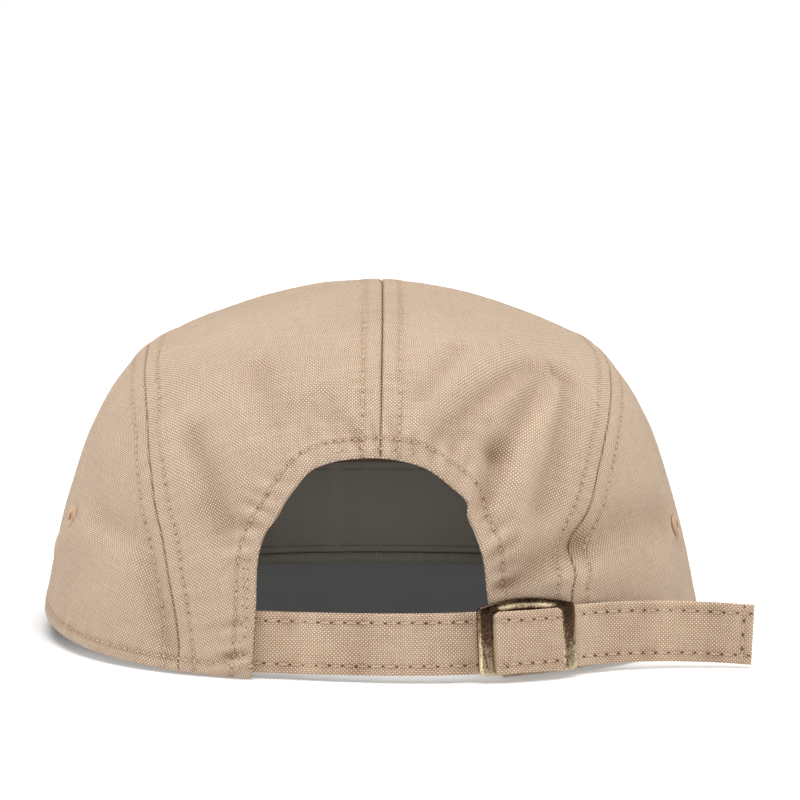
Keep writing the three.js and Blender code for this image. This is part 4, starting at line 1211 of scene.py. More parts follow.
def stitch_tree() -> Tree:
    """Builds the tree that lays stitches along paths.

    Returns:
        A tree with named inputs for the stitches' pitch, size, turn, wander, seed and finishes.
    """
    tree = bpy.data.node_groups.new("stitch_row", "GeometryNodeTree")
    for name, kind in (("Path", "Geometry"), ("Pitch", "Float"), ("Length", "Float"), ("Width", "Float"),
                       ("Height", "Float"), ("Hole", "Float"), ("Turn", "Float"), ("Wander", "Float"),
                       ("Seed", "Int"), ("Thread", "Material"), ("Needle Hole", "Material")):
        tree.interface.new_socket(name, in_out="INPUT", socket_type=f"NodeSocket{kind}")
    tree.interface.new_socket("Stitches", in_out="OUTPUT", socket_type="NodeSocketGeometry")
    given = add_node(tree, "NodeGroupInput").outputs
    path = add_node(tree, "GeometryNodeMeshToCurve", (given["Path"],))
    row = add_node(tree, "GeometryNodeResampleCurve", {"Curve": path, "Length": given["Pitch"]},
                   mode="LENGTH")
    tangent = add_node(tree, "GeometryNodeInputTangent")
    out = add_node(tree, "GeometryNodeInputNamedAttribute", {"Name": "out"}, data_type="FLOAT_VECTOR")
    ahead = add_node(tree, "FunctionNodeAlignRotationToVector", {"Vector": tangent}, axis="X")
    stood = add_node(tree, "FunctionNodeAlignRotationToVector", {"Rotation": ahead, "Vector": out},
                     axis="Z", pivot_axis="X")
    least = add_node(tree, MATH, (given["Wander"], -1.0), operation="MULTIPLY")
    wander = add_node(tree, "FunctionNodeRandomValue", {2: least, 3: given["Wander"], 8: given["Seed"]},
                      data_type="FLOAT")
    swing = add_node(tree, MATH, (wander.outputs[1], given["Turn"]), operation="ADD")
    about = add_node(tree, "ShaderNodeCombineXYZ", {2: swing})
    turn = add_node(tree, "FunctionNodeEulerToRotation", (about,))
    lay = add_node(tree, "FunctionNodeRotateRotation", (stood, turn), rotation_space="LOCAL")
    bead = add_node(tree, "GeometryNodeMeshUVSphere", {"Segments": 8, "Rings": 6, "Radius": 0.5})
    lying = add_node(tree, "GeometryNodeTransform", {0: bead, "Rotation": (0, math.pi / 2, 0)})
    size = add_node(tree, "ShaderNodeCombineXYZ", (given["Length"], given["Width"], given["Height"]))
    stitch = add_node(tree, "GeometryNodeTransform", {0: lying, "Scale": size})
    # Painted shade: a dark flattened bead half a pitch along each stitch, at the needle hole
    pit = add_node(tree, "GeometryNodeMeshUVSphere", {"Segments": 8, "Rings": 4, "Radius": 0.5})
    half = add_node(tree, MATH, (given["Pitch"], 0.5), operation="MULTIPLY")
    shift = add_node(tree, "ShaderNodeCombineXYZ", (half,))
    low = add_node(tree, MATH, (given["Hole"], 0.3), operation="MULTIPLY")
    slit = add_node(tree, MATH, (given["Hole"], 0.6), operation="MULTIPLY")
    pit_size = add_node(tree, "ShaderNodeCombineXYZ", (given["Hole"], slit, low))
    hole = add_node(tree, "GeometryNodeTransform", {0: pit, "Translation": shift, "Scale": pit_size})
    marked = add_node(tree, "GeometryNodeStoreNamedAttribute", {0: hole, "Name": "pit", "Value": True},
                      data_type="BOOLEAN", domain="FACE")
    wanted = add_node(tree, "FunctionNodeCompare", (given["Hole"], 0.0), data_type="FLOAT",
                      operation="GREATER_THAN")
    kept = add_node(tree, "GeometryNodeSwitch", {"Switch": wanted, "True": marked}, input_type="GEOMETRY")
    both = add_node(tree, "GeometryNodeJoinGeometry", (stitch,))
    tree.links.new(kept.outputs[0], both.inputs[0])
    laid = add_node(tree, "GeometryNodeInstanceOnPoints",
                    {"Points": row, "Instance": both, "Rotation": lay})
    real = add_node(tree, "GeometryNodeRealizeInstances", (laid,))
    smooth_faces = add_node(tree, "GeometryNodeSetShadeSmooth", (real,))
    threaded = add_node(tree, "GeometryNodeSetMaterial", {0: smooth_faces, "Material": given["Thread"]})
    is_pit = add_node(tree, "GeometryNodeInputNamedAttribute", {"Name": "pit"}, data_type="BOOLEAN")
    done = add_node(tree, "GeometryNodeSetMaterial",
                    {0: threaded, "Selection": is_pit, "Material": given["Needle Hole"]})
    add_node(tree, "NodeGroupOutput", (done,))
    return tree


@dataclass(frozen=True)
class Stitching:
    """A kind of stitch: its pitch and its thread's size as it shows, in millimetres."""

    pitch: float = 2.3
    length: float = 1.95
    width: float = 0.42
    height: float = 0.3
    hole: float = 0.5
    turn: float = 0.0
    wander: float = 0.05

    def sew(self, name: str, paths: Sequence[tuple[Array, Array]], tree: Tree,
            finishes: Finishes, seed: int, thread: Material | None = None) -> Piece:
        """Lays the stitches along paths and leaves them as one plain mesh.

        Args:
            name: the piece's name.
            paths: each path's points in millimetres and the ways out of the cloth there.
            tree: the stitching tree.
            finishes: the cap's finishes.
            seed: the seed of the stitches' wander.
            thread: the thread's finish, tan where none is given.

        Returns:
            The mesh object.
        """
        points = np.vstack([path[0] for path in paths])
        outs = np.vstack([path[1] for path in paths])
        edges, first = [], 0
        for path, _ in paths:
            edges += [(first + k, first + k + 1) for k in range(len(path) - 1)]
            first += len(path)
        mesh = bpy.data.meshes.new(name)
        mesh.from_pydata(place(points).tolist(), edges, [])
        layer = mesh.attributes.new("out", "FLOAT_VECTOR", "POINT")
        layer.data.foreach_set("vector", outs.astype(np.float32).ravel())
        guide = add_object(name + "_path", mesh)
        modifier = guide.modifiers.new("stitches", "NODES")
        modifier.node_group = tree
        wanted = {"Pitch": self.pitch * MM, "Length": self.length * MM, "Width": self.width * MM,
                  "Height": self.height * MM, "Hole": self.hole * MM,
                  "Turn": self.turn, "Wander": self.wander,
                  "Seed": seed, "Thread": thread or finishes.thread, "Needle Hole": finishes.hole}
        for item in tree.interface.items_tree:
            if item.in_out == "INPUT" and item.name in wanted:
                modifier[item.identifier] = wanted[item.name]
        graph = bpy.context.evaluated_depsgraph_get()
        sewn = bpy.data.meshes.new_from_object(guide.evaluated_get(graph))
        guide.modifiers.remove(modifier)
        bpy.data.objects.remove(guide)
        sewn.name = name
        return add_object(name, sewn)


def finish(piece: Piece, slot: Slot, *nodes: str) -> Piece:
    """Sets a piece on the cap's body and hides the solids that it stands for."""
    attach(piece, BODY)
    if nodes:
        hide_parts(*nodes)
    log.info("%s: %d faces", piece.name, len(piece.data.polygons))
    return piece


# The cap's sub-assemblies


@dataclass
class Panel:
    """One sewn panel of the crown: four edges on the disc and how finely it is modelled."""

    name: str
    bottom: Edge
    top: Edge
    left: Edge
    right: Edge
    across: Array
    up: Array
    free_radius: float = 0.88
    sewn_radius: float = 0.3

    def build(self, cloth: Cloth, material: Material) -> Piece:
        """Builds the panel as a closed wall with rolled edges.

        Args:
            cloth: the crown's cloth.
            material: the canvas.

        Returns:
            The panel's object, in place of its solid.
        """
        places = patch(self.bottom, self.top, self.left, self.right, self.across, self.up)
        sheet = cloth.sheet(places)
        plain = CROWN.point(places)
        free = np.minimum(cloth.arch_track.nearest(plain)[0], cloth.rim_track.nearest(plain)[0])
        sewn = np.min([track.nearest(plain)[0] for track in cloth.seam_tracks], axis=0) - CROWN.seam_gap / 2
        fall = np.maximum(rolled(free, self.free_radius), rolled(np.maximum(sewn, 0.0), self.sewn_radius))
        back_fall = rolled(free, self.free_radius)
        outside = sheet["dressed"] - sheet["through"] * fall[..., None]
        inside = sheet["folded"] - sheet["through"] * (CROWN.wall - back_fall)[..., None]
        rows, columns = places.shape[:2]
        middle = places[rows // 2, columns // 2]
        heading = CROWN.point(places[-1, columns // 2]) - CROWN.point(places[0, columns // 2])
        grain = grain_map(places, middle, heading).reshape(-1, 2)
        points = np.vstack([outside.reshape(-1, 3), inside.reshape(-1, 3)])
        faces = facing_out(points, wall_faces(rows, columns))
        # Painted shade: the seams' hollows, puckers and fold valleys darken the outside's colour
        shade_mark = np.concatenate([np.clip(sheet["sewn"].ravel(), -0.6, 0.1), np.zeros(rows * columns)])
        solid = Solid(points, faces, np.vstack([grain, grain]), {"sewn": shade_mark})
        return finish(solid.make(f"{self.name}_cloth", material), Slot.CANVAS, self.name)


@dataclass
class Crown:
    """The five panels, their topstitching and their hems."""

    near: tuple[float, ...] = (0.0, 0.1, 0.25, 0.45, 0.7, 1.0, 1.5, 2.1)
    pitch: float = 0.74

    def inset(self, line: Line, towards: float) -> Line:
        """Moves a sewn edge into its panel by half the seam's gap."""
        return line.beside(towards * CROWN.seam_gap / 2, steps=1)

    def shares(self, line: Edge | Line) -> Array:
        """Spaces stations along an edge's length."""
        edge = line.at if isinstance(line, Line) else line
        length = run_along(CROWN.point(edge(np.linspace(0, 1, 200))))[-1]
        return stations(length, self.pitch, self.near)

    def panels(self) -> list[Panel]:
        """Lays out the five panels between their shared seams."""
        found = []
        for side in Side:
            s = side.value
            name = side.name.lower()
            opening, centre = PATTERN.opening(side), self.inset(PATTERN.centre(), s)
            lower, upper = PATTERN.side(side)
            left = joined(opening, centre, PATTERN.arch_share)
            right = joined(self.inset(lower, -s), self.inset(upper, -s), PATTERN.arch_share)
            foot = (opening.places[0], lower.places[0])
            bottom, top = rim_between(*foot, -s), self.inset(PATTERN.front_top(side), s)
            turn = PATTERN.arch_share
            arch, above = self.shares(opening) * turn, turn + self.shares(centre) * (1 - turn)
            up = np.concatenate([arch, above[1:]])
            columns = self.shares(PATTERN.front_top(side))
            found.append(Panel(f"back_panel_{name}", bottom, top.at, left, right, columns, up))
            front, lower_out = self.inset(PATTERN.front_side(side), -s), self.inset(lower, s)
            back_upper = self.inset(upper, s)
            shoulder = Line(back_upper.places[::-1])
            rim = rim_between(front.places[0], lower.places[0], s)
            found.append(Panel(f"side_panel_{name}", rim, shoulder.at, front.at, lower_out.at,
                               self.shares(shoulder), self.shares(lower)))
        tops = {side: self.inset(PATTERN.front_top(side), -side.value) for side in Side}
        sides = {side: self.inset(PATTERN.front_side(side), side.value) for side in Side}
        over = joined(Line(tops[Side.LEFT].places[::-1]), tops[Side.RIGHT], 0.5)
        rim = rim_between(sides[Side.LEFT].places[0], sides[Side.RIGHT].places[0], -1)
        found.append(Panel("front_panel", rim, over, sides[Side.LEFT].at, sides[Side.RIGHT].at,
                           self.shares(rim), self.shares(sides[Side.LEFT])))
        return found

    def stitched(self, line: Line, cloth: Cloth, sink: float = -0.05) -> tuple[Array, Array]:
        """Lays a line of sewing on the dressed cloth, a little sunk.

        Args:
            line: the line on the disc.
            cloth: the crown's cloth.
            sink: how far the thread's middle lies under the cloth's face.

        Returns:
            The path's points and the ways out of the cloth.
        """
        sheet = cloth.sheet(line.places)
        return sheet["dressed"] - sheet["normal"] * sink, sheet["normal"]

    def build(self, cloth: Cloth, tree: Tree, finishes: Finishes) -> None:
        """Builds the panels and sews them."""
        for panel in self.panels():
            panel.build(cloth, finishes.canvas)
        rows = []
        for seam in cloth.seams:
            for side in (1, -1):
                rows.append(self.stitched(seam.beside(side * SEAM.stitch_at).trimmed(3.0, 4.5), cloth))
        kind = Stitching()
        finish(kind.sew("seam_topstitches", rows, tree, finishes, 3), Slot.THREAD)
        arch = cloth.arch.beside(ARCH_HEM.stitch_at).trimmed(1.5, 1.5)
        rim = cloth.rim.beside(-RIM_HEM.stitch_at)
        hems = [self.stitched(arch, cloth), self.stitched(rim, cloth)]
        length = run_along(CROWN.point(cloth.arch.places))[-1]
        middle = length / 2 - 6
        rows = ((1.9, 2.5, length - 27.0), (3.1, 4.0, length - 22.0), (2.2, middle, middle))
        for inset, start, end in rows:
            hems.append(self.stitched(cloth.arch.beside(inset).trimmed(start, end), cloth))
        finish(kind.sew("hem_stitches", hems, tree, finishes, 5), Slot.THREAD)


def loft(sections: Array, grain: Array, values: dict[str, Array] | None = None) -> Solid:
    """Joins closed sections of a flat strip, with its two ends closed.

    Args:
        sections: points by station and place round the section, an even number, front side first.
        grain: the grain map at the same points.
        values: named values at the same points.

    Returns:
        The closed solid.
    """
    rows, sides = sections.shape[:2]
    faces = grid_faces(rows, sides, ring=True)
    half = sides // 2
    for first, step in ((0, 1), ((rows - 1) * sides, -1)):
        for i in range(half - 1):
            quad = (first + i, first + i + 1, first + sides - 2 - i, first + sides - 1 - i)
            faces.append(quad[::-1] if step > 0 else quad)
    points = sections.reshape(-1, 3)
    flat = {name: value.ravel() for name, value in (values or {}).items()}
    return Solid(points, facing_out(points, faces), grain.reshape(-1, 2), flat)


@dataclass
class StrapLine:
    """The line that the strap's middle follows round the crown at one height."""

    height: float

    def __post_init__(self) -> None:
        """Measures the line between the temples."""
        self.phi = np.linspace(math.radians(40), math.radians(160), 900)
        self.run = run_along(self.frames(self.phi)["point"])

    def frames(self, phi: Array) -> dict[str, Array]:
        """Gives the crown's face and its ways out, along to the photo's right and up, at angles."""
        rho = CROWN.rho_at_height(phi, np.full_like(phi, self.height))
        places = polar(phi, rho)
        out = CROWN.normal(places)
        along = unit(np.cross(UP, out))
        return {"point": CROWN.at(phi, rho), "out": out, "along": along, "up": np.cross(out, along)}

    def walk(self, phi: float, distance: Array) -> Array:
        """Gives the angles at distances along the line from an angle."""
        return np.interp(np.interp(phi, self.phi, self.run) + distance, self.run, self.phi)


@dataclass
class Fastening:
    """The strap, its slide and the hidden loop that holds the slide."""

    width: float = 15.7
    thickness: float = 1.6
    bottom: float = 1.7
    gap: float = 0.35
    sewn_gap: float = 0.5
    sewn_angle: float = math.radians(61.5)
    leaves_angle: float = math.radians(73)
    arrives_angle: float = math.radians(103)
    tail: tuple[float, float, float] = (60.5, 12.5, 0.9)
    tail_bend: float = 0.42
    buckle_angle: float = math.radians(113.4)
    buckle_width: float = 27.0
    side_height: float = 16.8
    side_bar: float = 4.1
    centre_bar: float = 3.0
    buckle_thickness: float = 1.9
    top_bar: float = 2.0
    top_arch: float = 2.2
    raised: float = 0.4
    bottom_bar: float = 1.5
    bottom_arch: float = 0.3
    corner: float = 1.6
    slot_corner: float = 0.8
    loop_thickness: float = 0.8
    fall_share: float = 0.6
    dive: float = 0.9
    turn_radius: float = 1.5
    stitch_inset: float = 2.4
    stitch_pitch: float = 3.4
    groove: float = 0.26
    groove_width: float = 0.6

    def __post_init__(self) -> None:
        """Works out where the slide's bars and the strap lie over the crown."""
        self.line = StrapLine(self.bottom + self.width / 2)
        frames = self.line.frames(np.array([self.buckle_angle]))
        self.middle = {name: value[0] for name, value in frames.items()}
        bar_reach = self.buckle_width / 2 - self.side_bar / 2
        falls = self.fall_at(np.array([bar_reach, -bar_reach]))
        loop_inner = self.gap + self.loop_thickness
        self.under_bars = loop_inner + self.gap + self.thickness / 2
        self.side_back = self.under_bars + self.thickness / 2 + self.gap - falls.mean() * self.fall_share
        self.centre_back = loop_inner + self.gap
        loop_outer = self.centre_back + self.buckle_thickness + self.gap + self.loop_thickness
        self.over_bar = loop_outer + self.gap + self.thickness / 2
        self.inside_wall = -(CROWN.wall + self.sewn_gap + self.thickness / 2)
        self.window = self.buckle_width / 2 - self.side_bar

    def fall_at(self, along: Array) -> Array:
        """Gives how far the crown's face lies behind the slide's plane at distances along it."""
        here = self.line.frames(self.line.walk(self.buckle_angle, along))["point"]
        return -((here - self.middle["point"]) @ self.middle["out"])

    def on_buckle(self, along: Array, up: Array, out: Array) -> Array:
        """Places points of the slide's front view."""
        m = self.middle
        beside = m["point"] + along[..., None] * m["along"] + up[..., None] * m["up"]
        return beside + out[..., None] * m["out"]

    def strap_stations(self, pitch: float) -> dict[str, Array]:
        """Works out the strap's middle line from its sewn end to its free end.

        Args:
            pitch: the spacing of the stations.

        Returns:
            Points, ways out and up, and widths.
        """
        reach = self.buckle_width / 2 + 2
        start = self.line.walk(self.buckle_angle, np.array(-reach))
        span = np.interp(start, self.line.phi, self.line.run)
        span -= np.interp(self.sewn_angle, self.line.phi, self.line.run)
        phi = np.linspace(self.sewn_angle, start, int(span / pitch))[:-1]
        frames = self.line.frames(phi)
        across = smooth(self.leaves_angle, self.arrives_angle, phi)
        rise = self.inside_wall + (self.under_bars - self.inside_wall) * across
        along = np.linspace(-reach, reach, int(9 * reach / pitch))
        slide = self.line.frames(self.line.walk(self.buckle_angle, along))
        away = np.abs(along)
        over = 1 - smooth(self.window - self.dive, self.window, away)
        slide_rise = self.under_bars + (self.over_bar - self.under_bars) * over
        slot = self.side_height - self.top_bar - self.bottom_bar - 2 * self.gap
        turned = np.clip((away - self.window + self.turn_radius + self.dive / 2) / self.turn_radius, 0, 1)
        corner = (self.width - slot) * (1 - np.sqrt(1 - turned**2))
        wide_again = smooth(self.window + 0.3, self.window + 2.0, away)
        pinch = 1 - corner * (1 - wide_again) / self.width
        first = frames["point"] + frames["out"] * rise[:, None]
        second = slide["point"] + slide["out"] * slide_rise[:, None]
        leaving, way, up = second[-1], slide["along"][-1], slide["up"][-1]
        end = self.middle["point"] - np.array(self.tail)
        bend = leaving + way * ((leaving[0] - end[0]) * self.tail_bend / -way[0])
        share = np.linspace(0, 1, int(np.linalg.norm(end - leaving) / pitch))[1:, None]
        third = (1 - share) ** 2 * leaving + 2 * share * (1 - share) * bend + share**2 * end
        heading = unit((1 - share) * (bend - leaving) + share * (end - bend))
        lean = unit(up + (UP - up) * smooth(0, 1, share))
        out = unit(np.cross(heading, lean))
        widths = [np.full(len(phi), self.width), self.width * pinch, np.full(len(share), self.width)]
        return {
            "point": np.vstack([first, second, third]),
            "out": np.vstack([frames["out"], slide["out"], out]),
            "up": np.vstack([frames["up"], slide["up"], unit(np.cross(out, heading))]),
            "width": np.concatenate(widths),
        }

    def strap_relief(self, run: Array, across: Array, total: float) -> Array:
        """Gives the strap's sewn relief on its faces.

        Args:
            run: distances from the sewn end.
            across: distances from the middle line, as the width is.
            total: the strap's length.

        Returns:
            Heights over its plain face.
        """
        edge = self.width / 2 - np.abs(across)
        row = ridge(edge - self.stitch_inset, self.groove_width) * pull(run, self.stitch_pitch, 0.3)
        end = ridge(total - run - self.stitch_inset, self.groove_width) * (edge > self.stitch_inset - 0.5)
        wave = Ripple(7.0, 61).along(run) * ridge(edge - self.stitch_inset, 4 * self.groove_width)
        return -self.groove * np.maximum(row, end) + 0.1 * wave + 0.08 * Ripple(15.0, 62).along(run)

    def strap(self, finishes: Finishes, tree: Tree) -> None:
        """Builds the strap with its rolled edges, its stitch rows and dark discs of painted shade at its
        needle holes.
        """
        line = self.strap_stations(0.7)
        run = run_along(line["point"])
        total = run[-1]
        shares = stations(self.width, 0.75, (0.0, 0.1, 0.25, 0.5, 0.8)) * 2 - 1
        edge = (1 - np.abs(shares)) * self.width / 2
        half = self.thickness / 2
        round_side = 1 - rolled(edge, half * 0.95) / half
        end = np.minimum(run, total - run)
        round_end = 1 - rolled(end, half * 0.9) / half
        across = shares[None] * line["width"][:, None] / 2
        relief = self.strap_relief(run[:, None], across, total)
        front = half * round_side[None] * round_end[:, None] + relief * round_side[None]
        back = half * round_side[None] * round_end[:, None] + relief * round_side[None] * 0.5
        base = line["point"][:, None] + line["up"][:, None] * across[..., None]
        out = line["out"][:, None]
        faces = [base + out * front[..., None], base - out * back[..., None]]
        sections = np.concatenate([faces[0], faces[1][:, ::-1]], 1)
        flat = np.stack(np.broadcast_arrays(run[:, None], across), -1)
        grain = np.concatenate([flat, flat[:, ::-1]], 1)
        # Painted shade: the stitch grooves darken the strap's colour, and its ripples shade it lighter and
        # darker
        shade_mark = np.clip(np.concatenate([relief, relief[:, ::-1]], 1), -0.4, 0.1)
        solid = loft(sections, grain, {"sewn": shade_mark})
        finish(solid.make("strap_cloth", finishes.strap_canvas), Slot.CANVAS, "strap")
        self.sew_strap(line, run, finishes, tree)

    def sew_strap(self, line: dict[str, Array], run: Array, finishes: Finishes, tree: Tree) -> None:
        """Sews the rows along both edges of the strap and across its free end."""
        inset = line["width"] / 2 - self.stitch_inset
        keep = run < run[-1] - self.stitch_inset
        paths = []
        for side in (1, -1):
            path = line["point"] + line["up"] * (side * inset)[:, None]
            path = path + line["out"] * (self.thickness / 2 - 0.1)
            paths.append((path[keep], line["out"][keep]))
        k = int(np.argmin(np.abs(run - (run[-1] - self.stitch_inset))))
        spread = np.linspace(-inset[k], inset[k], 24)[:, None]
        lift = line["out"][k] * (self.thickness / 2 - 0.1)
        outs = np.repeat(line["out"][k][None], 24, 0)
        paths.append((line["point"][k] + lift + line["up"][k] * spread, outs))
        kind = Stitching(pitch=self.stitch_pitch, length=2.6, width=0.42, height=0.34, hole=0.95)
        finish(kind.sew("strap_stitches", paths, tree, finishes, 9), Slot.THREAD)

    def outline(self, half: float, rise: float, drop: float, corner: float) -> Array:
        """Gives one closed outline of the slide's front view.

        Args:
            half: its half width.
            rise: how far it stands in from the slide's top edge.
            drop: how far it stands in from the slide's bottom edge.
            corner: the size of its corners.

        Returns:
            Points of a fixed count, so that two outlines pair off.
        """
        arch = self.top_arch if rise == 0 else self.top_arch * 0.25

        def bow(along: Array | float) -> Array | float:
            """Gives the arch's share at a distance from the middle."""
            return 1 - (along / (self.buckle_width / 2)) ** 2

        def top(along: Array | float) -> Array | float:
            """Gives the upper edge's height."""
            return self.raised + self.side_height / 2 + arch * bow(along) - rise

        def low(along: Array | float) -> Array | float:
            """Gives the lower edge's height."""
            return self.raised - self.side_height / 2 - self.bottom_arch * bow(along) + drop

        def arc(x: float, y: float, start: float) -> Array:
            """Rounds one corner."""
            return np.stack([x + corner * np.cos(start + turn), y + corner * np.sin(start + turn)], -1)

        inner = half - corner
        t = np.linspace(0, 1, 25)[:-1]
        turn = np.linspace(0, 1, 9)[:-1] * math.pi / 2
        along = -inner + 2 * inner * t
        bottom = np.stack([along, low(along)], -1)
        low_y, top_y = low(inner) + corner, top(inner) - corner
        right = np.stack([np.full(24, half), low_y + (top_y - low_y) * t], -1)
        crest = np.stack([-along, top(-along)], -1)
        left = np.stack([np.full(24, -half), top_y + (low_y - top_y) * t], -1)
        return np.vstack([bottom, arc(inner, low_y, -math.pi / 2), right, arc(inner, top_y, 0.0), crest,
                          arc(-inner, top_y, math.pi / 2), left, arc(-inner, low_y, math.pi)])

    def bar_back(self, along: Array) -> Array:
        """Gives how far the slide's back stands off the crown along it."""
        middle = 1 - smooth(self.centre_bar / 2, self.window, np.abs(along))
        return self.side_back + (self.centre_back - self.side_back) * middle

    def buckle(self, finishes: Finishes) -> None:
        """Builds the slide's frame and centre bar with rounded edges, paler where rubbed, with a painted
        reflection and a painted highlight.
        """
        outer = self.outline(self.buckle_width / 2, 0.0, 0.0, self.corner)
        inner = self.outline(self.window, self.top_bar, self.bottom_bar, self.slot_corner)
        turn = np.linspace(0, 2 * math.pi, 29)[:-1]
        squareness = 2 / 3.6
        wide = np.sign(np.cos(turn)) * np.abs(np.cos(turn)) ** squareness
        thick = np.sign(np.sin(turn)) * np.abs(np.sin(turn)) ** squareness
        centre, reach = (outer + inner) / 2, (outer - inner) / 2
        flat = centre[:, None] + reach[:, None] * wide[None, :, None]
        half = self.buckle_thickness / 2
        out = self.bar_back(flat[..., 0]) + half + half * thick[None]
        points = self.on_buckle(flat[..., 0], flat[..., 1], out)
        # Paleness of the brass: real wear on the front edges, a painted reflection that grows paler towards
        # the bottom, and a painted highlight along the top bar's front edge
        wear_and_painted_light = np.repeat((np.abs(wide) ** 4 * (thick > 0))[None], len(points), 0)
        painted_reflection_share = (self.side_height / 2 + self.raised - flat[..., 1]) / self.side_height
        highlight_band = ridge(wide + 0.1, 0.4) * (thick > 0)
        top = (centre[:, 1] > self.side_height / 2 + self.raised - 2.2) * 1.0
        top = top * (1 - smooth(self.window - 2.6, self.window - 0.4, np.abs(centre[:, 0])))
        value = np.clip(-0.1 + 0.75 * painted_reflection_share + 0.5 * wear_and_painted_light + 1.0 * highlight_band[None] * top[:, None], -0.2, 1.2)
        rows, sides = points.shape[:2]
        ring = ring_faces(rows, sides)
        bar_up = self.raised + np.linspace(-self.side_height / 2 + 0.6, self.side_height / 2 - 0.6, 24)
        bar_along = np.repeat((self.centre_bar / 2 * wide)[None], 24, 0)
        bar_out = np.repeat((self.centre_back + half + half * thick)[None], 24, 0)
        bar = self.on_buckle(bar_along, np.repeat(bar_up[:, None], sides, 1), bar_out)
        bar_faces = tube_faces(24, sides)
        bar_flat = bar.reshape(-1, 3)
        ring_flat = points.reshape(-1, 3)
        ring = facing_out(ring_flat, ring)
        bar_faces = facing_out(bar_flat, bar_faces[:-2]) + bar_faces[-2:]
        faces = ring + [tuple(k + len(ring_flat) for k in face) for face in bar_faces]
        grain = np.vstack([flat.reshape(-1, 2), np.zeros((len(bar_flat), 2))])
        solid = Solid(np.vstack([ring_flat, bar_flat]), faces, grain,
                      {"wear_and_painted_light": np.concatenate([value.ravel(), np.full(len(bar_flat), 0.2)])})
        finish(solid.make("buckle_metal", finishes.brass), Slot.BRASS, "buckle")

    def loop(self, finishes: Finishes) -> None:
        """Softens the hidden loop's solid into folded cloth."""
        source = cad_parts["buckle_loop"]
        mesh = source.data.copy()
        piece = add_object("buckle_loop_cloth", mesh)
        soften(piece, 0.25 * MM)
        mesh.materials.clear()
        mesh.materials.append(finishes.strap_canvas)
        finish(piece, Slot.CANVAS, "buckle_loop")

    def build(self, tree: Tree, finishes: Finishes) -> None:
        """Builds the strap, the slide and the loop."""
        self.strap(finishes, tree)
        self.buckle(finishes)
        self.loop(finishes)


def soften(piece: Piece, width: float) -> None:
    """Merges a solid's loose triangles, rounds its corners and lays a grain map on it.

    Args:
        piece: the object, whose mesh is its own.
        width: the rounding's width in metres.
    """
    mesh = piece.data
    work = bmesh.new()
    work.from_mesh(mesh)
    bmesh.ops.remove_doubles(work, verts=work.verts, dist=TINY)
    bmesh.ops.dissolve_limit(work, angle_limit=math.radians(2), verts=work.verts, edges=work.edges)
    sharp = [edge for edge in work.edges if edge.is_manifold and edge.calc_face_angle(0.0) > math.radians(35)]
    bmesh.ops.bevel(work, geom=sharp, offset=width, segments=3, affect="EDGES", profile=0.5,
                    clamp_overlap=True)
    bmesh.ops.triangulate(work, faces=work.faces)
    layer = work.loops.layers.uv.get("grain") or work.loops.layers.uv.new("grain")
    for face in work.faces:
        for loop in face.loops:
            loop[layer].uv = (loop.vert.co.x - loop.vert.co.y, loop.vert.co.z)
        face.smooth = True
    work.to_mesh(mesh)
    work.free()


